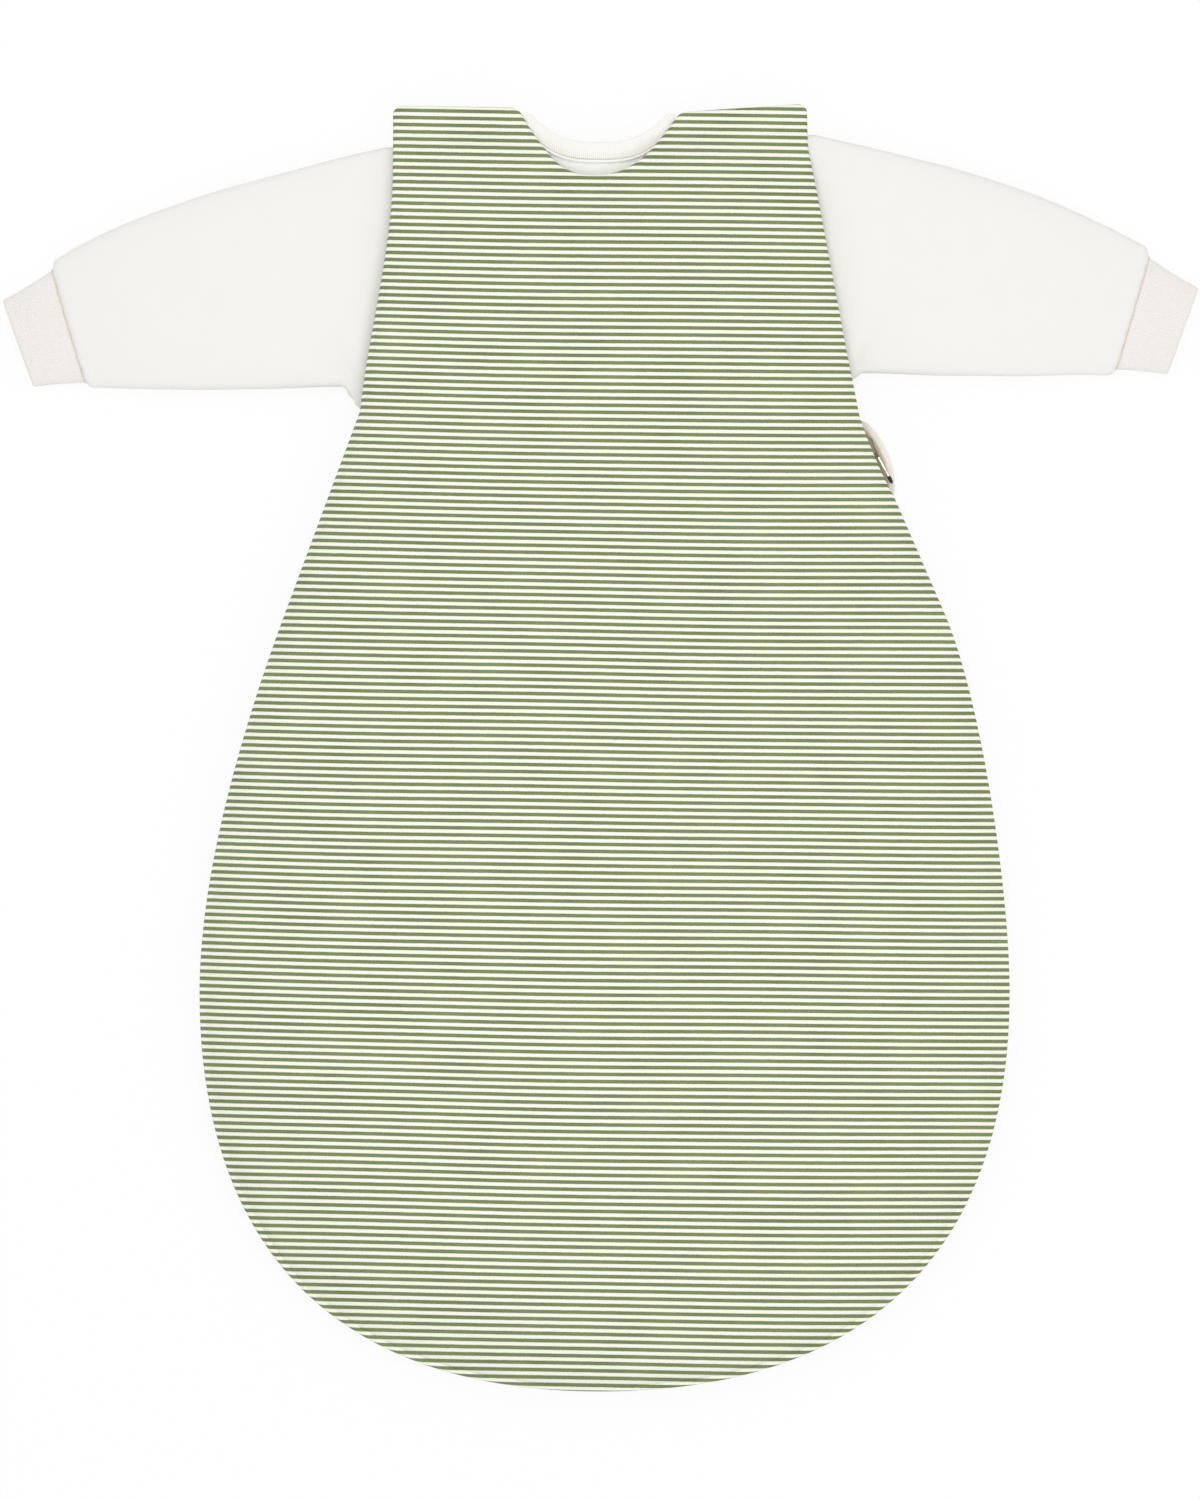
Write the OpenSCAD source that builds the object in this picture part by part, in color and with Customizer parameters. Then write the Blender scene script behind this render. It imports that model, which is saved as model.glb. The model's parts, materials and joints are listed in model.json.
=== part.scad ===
// Baby sleeping bag: a quilted, pear-shaped outer bag with a zip round its edge and
// shoulder straps that snap open, over a long-sleeved jersey inner bag.
// It lies on its back: X to the wearer's left, Y towards the head, Z up, millimetres.
// The origin is on the surface that it lies on, under the middle of its bounding box.

/* [Outer bag outline] */
// Shoulder line to the bottom hem
bag_length = 700; // [620:5:800]
// Centre line to the outer edge of a strap
shoulder_half = 113; // [100:1:126]
// Centre line to the armpit, on the seamed side
armpit_half_seam = 130.5; // [122:0.5:140]
// Centre line to the armpit, on the zip side
armpit_half_zip = 141.5; // [132:0.5:150]
// Shoulder line to the armpit, on the seamed side
armpit_drop_seam = 166; // [158:1:172]
// Shoulder line to the armpit, on the zip side
armpit_drop_zip = 170; // [162:1:175]
// Centre line to the waist, on the seamed side
waist_half_seam = 171; // [160:1:182]
// Centre line to the waist, on the zip side
waist_half_zip = 187; // [176:1:198]
// Shoulder line to the waist, where the front folds up when it is unzipped
waist_drop = 275; // [262:1:290]
// Centre line to the widest point, on the seamed side
hip_half_seam = 218; // [205:1:230]
// Centre line to the widest point, on the zip side
hip_half_zip = 223; // [210:1:235]
// Shoulder line to the widest point
hip_drop = 483; // [465:1:500]
// Roundness of the bottom: 0.552 is a true circle, more is squarer
hem_fullness = 0.65; // [0.56:0.01:0.68]

/* [Neck] */
// Centre line to the neck's corner at the shoulder line
neck_half = 43.7; // [40:0.1:52]
// Depth of the front neckline below the shoulder line
front_neck_depth = 37; // [30:0.2:40]
// Depth of the outer bag's back neckline below the shoulder line
back_neck_depth = 25; // [16:0.5:28]
// Height of the inner bag's ribbed neckband
neckband_height = 9; // [8:0.5:14]

/* [Layers] */
// Thickness of the striped jersey
shell_t = 1.2; // [0.8:0.1:1.6]
// Thickness of the wadding in the middle of a panel
wadding_t = 4.8; // [3:0.2:6]
// Thickness of the wadding pressed into an edge
wadding_edge_t = 1.6; // [1:0.1:2]
// Thickness of the outer bag's lining
lining_t = 1; // [0.6:0.1:1.2]
// Thickness of the inner bag's jersey
jersey_t = 1.2; // [0.8:0.1:1.4]
// Height that the front stands above the zip edge at the belly
belly_crown = 36; // [24:1:48]
// Height that the edge of the back lifts off the surface
rim_lift = 6; // [4:0.5:8]

/* [Shoulder straps] */
// Length of the part of a front strap that snaps open
strap_flap = 22; // [19:1:24]
// Radius of the shoulder snaps
snap_r = 5.5; // [4.5:0.1:6]
// Distance between the two snaps of one shoulder
snap_spacing = 30; // [26:1:34]

/* [Zip] */
// Width of the closed chain of coils
chain_w = 4.8; // [4.2:0.2:5.4]
// Thickness of the chain
chain_t = 2.2; // [1.8:0.1:2.6]
// Thickness of the zip tape
tape_t = 0.6; // [0.4:0.05:0.8]
// Height of the zip between the two edges that it joins
zip_gap = 10; // [9.4:0.2:11]
// Length of the slider
slider_l = 12; // [10:0.5:14]
// Length of the pull tab
pull_l = 27; // [24:1:34]
// Clearance of the slider round the chain
slider_clear = 0.4; // [0.3:0.05:0.5]

/* [Sleeves] */
// Length of a sleeve along its top, from the armhole to the cuff seam
sleeve_l = 194; // [170:1:205]
// Width of a sleeve at the cuff seam
sleeve_end_w = 67; // [62:1:74]
// Length of a cuff
cuff_l = 30; // [24:1:34]
// Width of a cuff at its mouth
cuff_w = 51; // [46:1:55]
// Thickness of the doubled rib of a cuff
rib_t = 1.8; // [1.2:0.1:2.2]

/* [Inner bag] */
// How far the inner bag lies inside the edge of the outer bag
inner_inset = 14; // [12:0.5:18]
// How far the inner bag's hem stops above the outer bag's
inner_hem_gap = 26; // [18:1:34]
// Half the overlap of the inner bag's two fronts
placket_half = 11; // [9:0.5:14]
// Shoulder line to the placket's highest snap
placket_top = 88; // [84:1:96]
// Distance between the placket's snaps
placket_pitch = 46; // [40:1:50]
// Radius of the inner bag's snaps
placket_snap_r = 4.5; // [4:0.1:5.5]

/* [Hidden] */
$fn = 48;

// Sides: 0 is the seamed side at -X, 1 is the zip side at +X.
SEAM = 0;
ZIP = 1;
function sign_of(side) = side == SEAM ? -1 : 1;

top_y = bag_length / 2;
hem_y = -bag_length / 2;
waist_y = top_y - waist_drop;
hip_y = top_y - hip_drop;
strap_y = top_y - strap_flap;
neck_y = top_y - front_neck_depth;
armpit_half = [armpit_half_seam, armpit_half_zip];
armpit_y = [top_y - armpit_drop_seam, top_y - armpit_drop_zip];
waist_half = [waist_half_seam, waist_half_zip];
hip_half = [hip_half_seam, hip_half_zip];
// Where a strap's straight edge turns into the armhole, below the shoulder line.
armhole_y = [top_y - 40, top_y - 24];
neck_power = 2.4;
hem_flat = 0.35;      // the round hem ends on a short flat this high above its lowest point
body_gap = 0.4;       // between pieces that move apart
edge_t = shell_t + wadding_edge_t + lining_t;

// ---- outline -------------------------------------------------------------------------

function mix(a, b, t) = a + (b - a) * t;

function bezier(p, t) =
    pow(1 - t, 3) * p[0] + 3 * pow(1 - t, 2) * t * p[1]
    + 3 * (1 - t) * t * t * p[2] + pow(t, 3) * p[3];

// The t at which a curve that runs towards -Y reaches y.
function bezier_t(p, y, low = 0, high = 1, left = 22) =
    left == 0 ? (low + high) / 2
    : bezier(p, (low + high) / 2)[1] > y
        ? bezier_t(p, y, (low + high) / 2, high, left - 1)
        : bezier_t(p, y, low, (low + high) / 2, left - 1);

// From the waist to the widest point, leaving along the straight side above it.
side_pull = [62, 54];
hip_pull = [68, 52];
function side_curve(side) =
    let (a = [armpit_half[side], armpit_y[side]], b = [waist_half[side], waist_y],
         along = (b - a) / norm(b - a), c = [hip_half[side], hip_y])
    [b, b + side_pull[side] * along, c + [0, hip_pull[side]], c];

function hem_curve(side) =
    let (w = hip_half[side], h = hip_y - hem_y)
    [[w, hip_y], [w, hip_y - hem_fullness * h], [hem_fullness * w, hem_y], [0, hem_y]];

// Distance from the centre line to the outer bag's edge at y.
function half_width(side, y) =
    y >= armhole_y[side] ? shoulder_half
    : y >= armpit_y[side]
        ? mix(shoulder_half, armpit_half[side],
              (armhole_y[side] - y) / (armhole_y[side] - armpit_y[side]))
    : y >= waist_y
        ? mix(armpit_half[side], waist_half[side],
              (armpit_y[side] - y) / (armpit_y[side] - waist_y))
    : y >= hip_y ? bezier(side_curve(side), bezier_t(side_curve(side), y))[0]
    : bezier(hem_curve(side), bezier_t(hem_curve(side), y))[0];

// A neckline of the given depth: its height at x, and its x at height y.
function neckline_y(x, depth) = top_y - depth * (1 - pow(min(1, abs(x) / neck_half), neck_power));
function neckline_x(y, depth) =
    neck_half * pow(max(0, y - top_y + depth) / depth, 1 / neck_power);

// ---- heights -------------------------------------------------------------------------

// 0 in the middle of the bag and 1 at its edge.
function edge_share(u, y, bottom = hem_y) =
    y >= hip_y ? abs(u)
    : let (s = min(1, (hip_y - y) / (hip_y - bottom))) sqrt(u * u * (1 - s * s) + s * s);

flange = 0.975;       // outside this share of the width the panels are flat for their seam
function dome(r) = pow(1 - pow(min(1, r / flange), 2.5), 0.6);

function drop(y) = top_y - y;
zip_low = rim_lift + edge_t;
zip_high = zip_low + zip_gap;
zip_mid = (zip_low + zip_high) / 2;
sleeve_room = 21.5;   // underside of the front where a sleeve comes out
strap_low = 10.9;     // underside of a strap where it lies on the snaps
function rim_z(y) = lookup(drop(y), [
    [0, strap_low], [strap_flap - 7, strap_low], [strap_flap, 15], [strap_flap + 10, 18.5],
    [strap_flap + 23, 21], [75, sleeve_room], [armpit_drop_seam - 8, sleeve_room],
    [armpit_drop_zip - 1, zip_high], [bag_length, zip_high]]);
function crown(y) = belly_crown * lookup(drop(y), [
    [0, 0], [strap_flap - 4, 0], [45, 0.08], [80, 0.22],
    [armpit_drop_seam, 0.39], [waist_drop, 0.67], [hip_drop, 1], [bag_length, 1]]);
snap_room = 0.8;      // the shoulders are lifted this much by the snap rings under them
function back_lift(y) = lookup(drop(y), [
    [0, 1.5], [armpit_drop_seam - 20, 1.5], [armpit_drop_zip - 3, rim_lift],
    [bag_length, rim_lift]]);
function wadding(r) = mix(wadding_edge_t, wadding_t, pow(dome(r), 0.6));

function front_z(p, layer) =
    rim_z(p[1]) + crown(p[1]) * dome(p[2])
    + (layer > 0 ? lining_t : 0) + (layer > 1 ? wadding(p[2]) : 0) + (layer > 2 ? shell_t : 0);
function back_z(p, layer) =
    back_lift(p[1]) * pow(max(0, (p[2] - 0.6) / 0.4), 2.4)
    + lookup(drop(p[1]), [[0, snap_room], [strap_flap, snap_room], [2 * strap_flap, 0]])
    + (layer > 0 ? shell_t : 0) + (layer > 1 ? wadding(p[2]) : 0) + (layer > 2 ? lining_t : 0);

// ---- sheets --------------------------------------------------------------------------

// A closed solid between two heights over a grid of [x, y, edge share], rows from low y.
module sheet(grid, low, high) {
    rows = len(grid);
    cols = len(grid[0]);
    n = rows * cols;
    points = concat(
        [for (row = grid) for (p = row) [p[0], p[1], low(p)]],
        [for (row = grid) for (p = row) [p[0], p[1], high(p)]]);
    function at(j, i, upper) = j * cols + i + (upper ? n : 0);
    flat_faces = [
        for (j = [0:rows - 2]) for (i = [0:cols - 2]) for (half = [0, 1]) for (upper = [false, true])
            let (a = at(j, i, upper), b = at(j, i + 1, upper),
                 c = at(j + 1, i + 1, upper), d = at(j + 1, i, upper),
                 f = half == 0 ? [a, b, c] : [a, c, d])
            upper ? [f[2], f[1], f[0]] : f];
    border = concat(
        [for (i = [0:cols - 1]) [0, i]], [for (j = [1:rows - 1]) [j, cols - 1]],
        [for (i = [cols - 2:-1:0]) [rows - 1, i]], [for (j = [rows - 2:-1:1]) [j, 0]]);
    wall_faces = [
        for (k = [0:len(border) - 1]) for (half = [0, 1])
            let (p = border[k], q = border[(k + 1) % len(border)],
                 a = at(p[0], p[1], false), b = at(q[0], q[1], false),
                 c = at(q[0], q[1], true), d = at(p[0], p[1], true))
            half == 0 ? [a, d, c] : [a, c, b]];
    polyhedron(points, concat(flat_faces, wall_faces), convexity = 10);
}

function place(u, y, bottom = hem_y) =
    [u * half_width(u < 0 ? SEAM : ZIP, y), y, edge_share(u, y, bottom)];

outer_columns = [1, flange, 0.93, 0.86, 0.76, 0.64, 0.5];
function mirrored(list) = concat([for (u = list) -u], [for (k = [len(list) - 1:-1:0]) list[k]]);
// Columns for a panel whose neckline reaches its top edge at this share of the width.
function columns(corner) =
    mirrored(concat(outer_columns, [corner, corner * 0.72, corner * 0.45, corner * 0.2]));

hem_shares = [0.975, 0.93, 0.86, 0.77, 0.66, 0.53, 0.38, 0.2];
hem_rows = concat([hem_y + hem_flat], [for (s = hem_shares) hip_y - s * (hip_y - hem_y)]);
function steps(low, high, n) = [for (k = [0:n - 1]) mix(low, high, k / n)];

// Rows up to the neckline's foot, then rows that close up to the top edge.
function panel_grid(us, rows, foot, top, n_top, corner_y) = concat(
    [for (y = rows) [for (u = us) place(u, y)]],
    [for (k = [1:n_top]) [for (u = us)
        let (side = u < 0 ? SEAM : ZIP, t = k / n_top,
             w = mix(half_width(side, foot), half_width(side, corner_y), t),
             edge = top(u * half_width(side, corner_y)))
        [u * w, mix(foot, edge, t), abs(u)]]]);

neck_foot = neck_y - 14;
chest_corner = neckline_x(strap_y, front_neck_depth) / shoulder_half;
chest_columns = columns(chest_corner);
chest_rows = concat(steps(waist_y + body_gap, armpit_y[SEAM], 4),
                    steps(armpit_y[SEAM], neck_foot, 3), [neck_foot]);
chest_grid = panel_grid(chest_columns, chest_rows, neck_foot,
    function(x) min(strap_y - body_gap, neckline_y(x, front_neck_depth)), 3, strap_y);

flap_rows = concat(hem_rows, steps(hip_y, waist_y, 4), [waist_y]);
flap_grid = [for (y = flap_rows) [for (u = chest_columns) place(u, y)]];

back_foot = top_y - back_neck_depth - 12;
back_columns = columns(neck_half / shoulder_half);
back_rows = concat(hem_rows, steps(hip_y, waist_y, 4), steps(waist_y, armpit_y[ZIP], 3),
                   steps(armpit_y[ZIP], back_foot, 3), [back_foot]);
back_grid = panel_grid(back_columns, back_rows, back_foot,
    function(x) neckline_y(x, back_neck_depth), 3, top_y);

// A strap's loose end, from the neckline to the armhole edge, with round corners.
strap_corner_r = 5;
function corner_inset(y) =
    let (d = max(0, y - (top_y - strap_corner_r)))
    strap_corner_r - sqrt(max(0, strap_corner_r * strap_corner_r - d * d));
strap_rows = [strap_y, top_y - 14, top_y - 9, top_y - strap_corner_r,
              top_y - 2.4, top_y - 0.8, top_y];
function strap_grid(side) = [for (y = strap_rows) [for (k = [0:5])
    let (v = side == SEAM ? 1 - k / 5 : k / 5, inset = 0.8 * corner_inset(y),
         a = neckline_x(y, front_neck_depth) + inset, b = half_width(side, y) - inset)
    [sign_of(side) * mix(a, b, v), y, max(0.8, abs(v * 2 - 1))]]];

module front_layer(grid, layer) {
    sheet(grid, function(p) front_z(p, layer - 1), function(p) front_z(p, layer));
}

module back_layer(grid, layer) {
    sheet(grid, function(p) back_z(p, layer - 1), function(p) back_z(p, layer));
}

module outer_back_shell() { color([0.62, 0.70, 0.50]) back_layer(back_grid, 1); }
module outer_back_wadding() { color([0.97, 0.97, 0.95]) back_layer(back_grid, 2); }
module outer_back_lining() { color([0.95, 0.94, 0.90]) back_layer(back_grid, 3); }
module chest_lining() { color([0.95, 0.94, 0.90]) front_layer(chest_grid, 1); }
module chest_wadding() { color([0.97, 0.97, 0.95]) front_layer(chest_grid, 2); }
module chest_shell() { color([0.62, 0.70, 0.50]) front_layer(chest_grid, 3); }
module flap_lining() { color([0.95, 0.94, 0.90]) front_layer(flap_grid, 1); }
module flap_wadding() { color([0.97, 0.97, 0.95]) front_layer(flap_grid, 2); }
module flap_shell() { color([0.62, 0.70, 0.50]) front_layer(flap_grid, 3); }
module strap_lining(side) { color([0.95, 0.94, 0.90]) front_layer(strap_grid(side), 1); }
module strap_wadding(side) { color([0.97, 0.97, 0.95]) front_layer(strap_grid(side), 2); }
module strap_shell(side) { color([0.62, 0.70, 0.50]) front_layer(strap_grid(side), 3); }

// ---- snaps ---------------------------------------------------------------------------

snap_plate = 0.6;     // thickness of a snap's metal plate
function snap_xs(side) =
    let (a = neckline_x(top_y - 11, front_neck_depth), b = half_width(side, top_y - 11),
         c = (a + b) / 2 + 4)
    [sign_of(side) * (c - snap_spacing / 2), sign_of(side) * (c + snap_spacing / 2)];
snap_y = top_y - 11;
function back_face(x) =
    let (side = x < 0 ? SEAM : ZIP) back_z([x, snap_y, abs(x) / half_width(side, snap_y)], 3);

// A socket: a ring with a bore, on a plate.
module socket(r, height) {
    rotate_extrude()
        polygon([[r * 0.42, 0], [r * 0.8, 0], [r, height * 0.35],
                 [r, height], [r * 0.42, height]]);
}

// A stud: a plate with a ball on a post.
module stud(r, base, height) {
    cylinder(r = r, h = base);
    cylinder(r = r * 0.32, h = height);
}

module strap_sockets(side) {
    color([0.80, 0.80, 0.82]) for (x = snap_xs(side))
        translate([x, snap_y, strap_low - 1.9]) socket(snap_r, 1.9);
}

module strap_snap_studs() {
    color([0.80, 0.80, 0.82]) for (side = [SEAM, ZIP]) for (x = snap_xs(side)) {
        base = back_face(x) + 0.15;
        translate([x, snap_y, base]) stud(snap_r, snap_plate, strap_low - base - 0.6);
    }
}

// The prong rings on the outside of the back straps.
module strap_snap_rings() {
    color([0.80, 0.80, 0.82]) for (side = [SEAM, ZIP]) for (x = snap_xs(side))
        translate([x, snap_y, snap_room - snap_plate - 0.05]) difference() {
            cylinder(r = snap_r, h = snap_plate);
            translate([0, 0, -1]) cylinder(r = snap_r * 0.5, h = 3);
        }
}

// ---- zip -----------------------------------------------------------------------------

// The rim from one height down to the hem, as points of one side.
function rim_points(side, from_y) = concat(
    [for (p = concat(
        [for (k = [0:6]) let (y = mix(armpit_y[side], waist_y, k / 6)) [half_width(side, y), y]],
        [for (k = [1:8]) bezier(side_curve(side), k / 8)],
        [for (k = [1:15]) bezier(hem_curve(side), k / 16)]))
        if (p[1] < from_y - 1) [sign_of(side) * p[0], p[1]]]);
function reversed(list) = [for (k = [len(list) - 1:-1:0]) list[k]];
function rim_start(side, y) = [sign_of(side) * half_width(side, y), y];
// The whole rim that the zip follows, from the zip side round the hem to the seamed side.
function rim_path(zip_from, seam_from) = concat(
    [rim_start(ZIP, zip_from)], rim_points(ZIP, zip_from), [[0, hem_y]],
    reversed(rim_points(SEAM, seam_from)), [rim_start(SEAM, seam_from)]);

// Each point moved sideways into the bag.
function inward(path, d) = [for (k = [0:len(path) - 1])
    let (a = path[max(0, k - 1)], b = path[min(len(path) - 1, k + 1)], along = (b - a) / norm(b - a))
    path[k] + d * [along[1], -along[0]]];

module band(path, outer, inner, low, high) {
    translate([0, 0, low]) linear_extrude(high - low)
        polygon(concat(inward(path, outer), reversed(inward(path, inner))));
}

chain_out = 3;                         // the chain lies this far inside the striped edge
chain_in = chain_out + chain_t;
tape_out = chain_out + (chain_t - tape_t) / 2;
coil_half = chain_w / 2;
coil_gap = 0.8;                        // from the zip's middle to each row of coils
chain_top_y = armpit_y[ZIP];
slider_y = chain_top_y - slider_l / 2 - 6.5;   // middle of the slider when the zip is closed
seam_end_y = waist_y - 2;
back_path = rim_path(chain_top_y, seam_end_y);
flap_path = rim_path(waist_y - body_gap, seam_end_y);
chest_path = [rim_start(ZIP, chain_top_y), rim_start(ZIP, waist_y + body_gap)];

module zip_tape(path, low, high) {
    color([0.93, 0.91, 0.84]) band(path, tape_out, tape_out + tape_t, low, high);
}
module zip_coil(path, low, high) {
    color([0.90, 0.89, 0.84]) band(path, chain_out, chain_in, low, high);
}
module back_zip_tape() { zip_tape(back_path, zip_low, zip_mid - coil_half); }
module back_zip_coil() { zip_coil(back_path, zip_mid - coil_half, zip_mid - coil_gap); }
module chest_zip_tape() { zip_tape(chest_path, zip_mid + coil_half, zip_high); }
module chest_zip_coil() { zip_coil(chest_path, zip_mid + coil_gap, zip_mid + coil_half); }
module flap_zip_tape() { zip_tape(flap_path, zip_mid + coil_half, zip_high); }
module flap_zip_coil() { zip_coil(flap_path, zip_mid + coil_gap, zip_mid + coil_half); }

// Puts a piece on the straight side below an armpit: its X runs down the side, its Y into the bag.
module on_side(side, y) {
    a = rim_start(side, armpit_y[side]);
    b = rim_start(side, waist_y);
    p = rim_start(side, y);
    translate([p[0], p[1], zip_mid]) rotate([0, 0, atan2(b[1] - a[1], b[0] - a[0])])
        mirror([0, side == ZIP ? 1 : 0, 0]) children();
}

module zip_top_stops() {
    stop_l = 2.4;
    color([0.80, 0.80, 0.82]) for (up = [-1, 1]) on_side(ZIP, chain_top_y + stop_l / 2 + 0.2)
        translate([-stop_l / 2, chain_out, up > 0 ? coil_gap : -coil_half])
            cube([stop_l, chain_t, coil_half - coil_gap]);
}

module zip_end_stop() {
    color([0.80, 0.80, 0.82]) on_side(SEAM, seam_end_y + 2)
        translate([-1.8, chain_out, -coil_half]) cube([3.6, chain_t, chain_w]);
}

// The slider: two plates joined by a bridge, with a channel for the chain and a slot for the tapes.
plate_t = 1;
slider_w = zip_gap - 1;
slider_out = chain_out - slider_clear - plate_t;
slider_in = chain_in + slider_clear + plate_t;
pin_r = 0.8;                           // the pull tab turns round a bar of this radius
eye_r = pin_r + 0.15;                  // bore of the pull tab's eye
eye_wall = 0.7;
post_t = 2 * (coil_gap - 0.35);
pin_out = eye_r + eye_wall + 0.3;      // how far the bar's middle stands off the outer plate

module slider_plate(from) {
    translate([0, from + plate_t, 0]) rotate([90, 0, 0]) linear_extrude(plate_t) {
        translate([-slider_l * 0.5, -slider_w * 0.36]) square([slider_l, slider_w * 0.72]);
        translate([-slider_l * 0.5, -slider_w * 0.5]) square([slider_l * 0.62, slider_w]);
        for (up = [-1, 1]) translate([slider_l * 0.12, up * slider_w * 0.36])
            circle(r = slider_w * 0.14);
    }
}

module slider_flange(up) {
    outer_gap = tape_out - slider_clear;
    inner_gap = tape_out + tape_t + slider_clear;
    height = slider_w / 2 - coil_half - slider_clear;
    translate([-slider_l / 2, slider_out, up > 0 ? slider_w / 2 - height : -slider_w / 2])
        cube([slider_l * 0.62, outer_gap - slider_out, height]);
    translate([-slider_l / 2, inner_gap, up > 0 ? slider_w / 2 - height : -slider_w / 2])
        cube([slider_l * 0.62, slider_in - inner_gap, height]);
}

module zip_slider() {
    color([0.78, 0.78, 0.80]) on_side(ZIP, slider_y) {
        slider_plate(slider_out);
        slider_plate(chain_in + slider_clear);
        slider_flange(-1);
        slider_flange(1);
        // the post between the two rows, which joins the plates
        translate([-slider_l * 0.45, slider_out + plate_t / 2, -post_t / 2])
            cube([slider_l * 0.3, slider_in - slider_out - plate_t, post_t]);
        // the bridge for the pull tab: two cheeks and the bar between them
        for (up = [-1, 1]) translate([-1.6, slider_out - pin_out - pin_r - 0.4, up * 2 - 0.5])
            cube([3.2, pin_out + pin_r + 0.4, 1]);
        translate([0, slider_out - pin_out, -2]) cylinder(r = pin_r, h = 4);
    }
}

pull_tilt = 4.5;      // the tab lies at this angle to the zip
// The pull tab lies down the zip from the slider's bar.
module zip_pull_tab() {
    tab_t = 1;
    tab_r = 3.2;
    neck_w = 2.6;
    end_x = pull_l - tab_r - eye_r - eye_wall;
    color([0.82, 0.82, 0.84]) on_side(ZIP, slider_y)
        translate([0, slider_out - pin_out, 0]) rotate([0, 0, -pull_tilt]) difference() {
            union() {
                translate([0, 0, -neck_w / 2]) cylinder(r = eye_r + eye_wall, h = neck_w);
                translate([0, -tab_t / 2, -neck_w / 2]) cube([end_x, tab_t, neck_w]);
                translate([end_x, tab_t / 2, 0]) rotate([90, 0, 0]) cylinder(r = tab_r, h = tab_t);
            }
            translate([0, 0, -3]) cylinder(r = eye_r, h = 6);
            translate([end_x, 2, 0]) rotate([90, 0, 0]) cylinder(r = 1.3, h = 4);
        }
}

// A crescent of lining jersey below the top of the zip, which keeps the slider off the skin.
garage_l = 43;
garage_out = 6.5;                      // how far it stands out of the side
garage_t = 2.6;
garage_y = armpit_y[ZIP] - garage_l / 2;
module zip_garage() {
    n = 12;
    grid = [for (k = [0:n]) let (t = k / n, bulge = pow(max(0, sin(180 * pow(t, 0.85))), 0.65))
        [for (v = [0:5]) [mix(-garage_l / 2, garage_l / 2, t),
                         mix(-garage_out * bulge - 0.1, 0, v / 5),
                         sqrt(max(0.02, bulge * (1 - pow(1 - v / 5, 2))))]]];
    z = zip_low - zip_mid - garage_t / 2 - 0.4;
    color([0.92, 0.90, 0.83]) on_side(ZIP, garage_y)
        sheet(reversed(grid), function(p) z - garage_t / 2 * p[2], function(p) z + garage_t / 2 * p[2]);
}

// The sewn stretch of the side between the armpit and the end of the zip.
module side_seam() {
    path = [rim_start(SEAM, armpit_y[SEAM] - 2), rim_start(SEAM, waist_y + 4)];
    color([0.62, 0.70, 0.50]) translate([0, 0, zip_low]) linear_extrude(zip_gap)
        polygon(concat(inward(reversed(path), 0.4), inward(path, -3.4)));
}

// ---- inner bag -----------------------------------------------------------------------

inner_z = zip_low - 0.4;               // the inner bag's back lies at this height
inner_hem_y = hem_y + inner_hem_gap;
inner_top_y = strap_y - 1.5;
inner_sink = 8.2;                      // the inner front's underside lies this far under the outer front's
function inner_half(side, y) =
    y >= hip_y ? half_width(side, y) - inner_inset
    : let (s = min(0.999, (hip_y - y) / (hip_y - inner_hem_y)))
      half_width(side, hip_y - s * (hip_y - hem_y)) * (1 - inner_inset / hip_half[side]);

// The seam between the inner bag's back and its neckband.
band_foot = neck_y + 8;
band_half = neck_half - 5;
band_rise = 14.7;
function band_seam_y(x) = band_foot + band_rise * pow(abs(x) / band_half, 2.8);
// The inner front's neckline, kept below the outer bag's.
function inner_neck_y(x) =
    min(inner_top_y, neck_y - neckband_height - 1 + 26 * pow(abs(x) / neck_half, neck_power));

placket_top_y = top_y - placket_top;
placket_ys = [for (k = [0:3]) placket_top_y - k * placket_pitch];
inner_foot = neck_foot - 14;
inner_rows = concat(
    [for (s = [0.99, 0.93, 0.85, 0.7, 0.5, 0.28]) hip_y - s * (hip_y - inner_hem_y)],
    steps(hip_y, waist_y, 3), [waist_y, placket_ys[3], placket_ys[2],
    armpit_y[SEAM], placket_ys[1], placket_ys[0], inner_foot]);

// How far the inner front's edge is held up by the sleeve in the armhole.
function armhole_open(y) =
    let (t = (y - armpit_y[ZIP]) / (inner_top_y - armpit_y[ZIP]))
    t <= 0 ? 0 : 5.6 * pow(sin(180 * min(1, t)), 0.5);

function inner_front_z(p) =
    let (edge = inner_z + jersey_t + armhole_open(p[1]),
         full = rim_z(p[1]) + crown(p[1]) - inner_sink)
    edge + max(0.5, full - edge) * dome(p[2]);

snap_slack = 0.7;     // between a snap and the jersey that slopes past it
// The over half rises by this much where it lies on the under half's snaps.
placket_rise = 4.6;
function over_rise(x) = placket_rise * (1 - min(1, max(0, (x - placket_half) / 30)));

// One of the two fronts, from its side seam to just past the centre line.
function inner_front_grid(side) =
    let (shares = [0, 0.12, 0.27, 0.44, 0.6, 0.75, 0.87, 0.95, 1],
         order = side == SEAM ? reversed(shares) : shares,
         top = function(x) inner_neck_y(x))
    concat(
        [for (y = inner_rows) [for (v = order)
            let (w = inner_half(side, y), x = mix(-placket_half, w, v))
            [sign_of(side) * x, y, edge_share(x / w, y, inner_hem_y)]]],
        [for (k = [1:4]) [for (v = order)
            let (t = k / 4, w = mix(inner_half(side, inner_foot), inner_half(side, inner_top_y), t),
                 x = mix(-placket_half, w, v))
            [sign_of(side) * x, mix(inner_foot, top(x), t), abs(x / w)]]]);

module inner_front_under() {
    color([0.95, 0.94, 0.92]) sheet(inner_front_grid(SEAM),
        function(p) inner_front_z(p), function(p) inner_front_z(p) + jersey_t);
}

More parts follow.
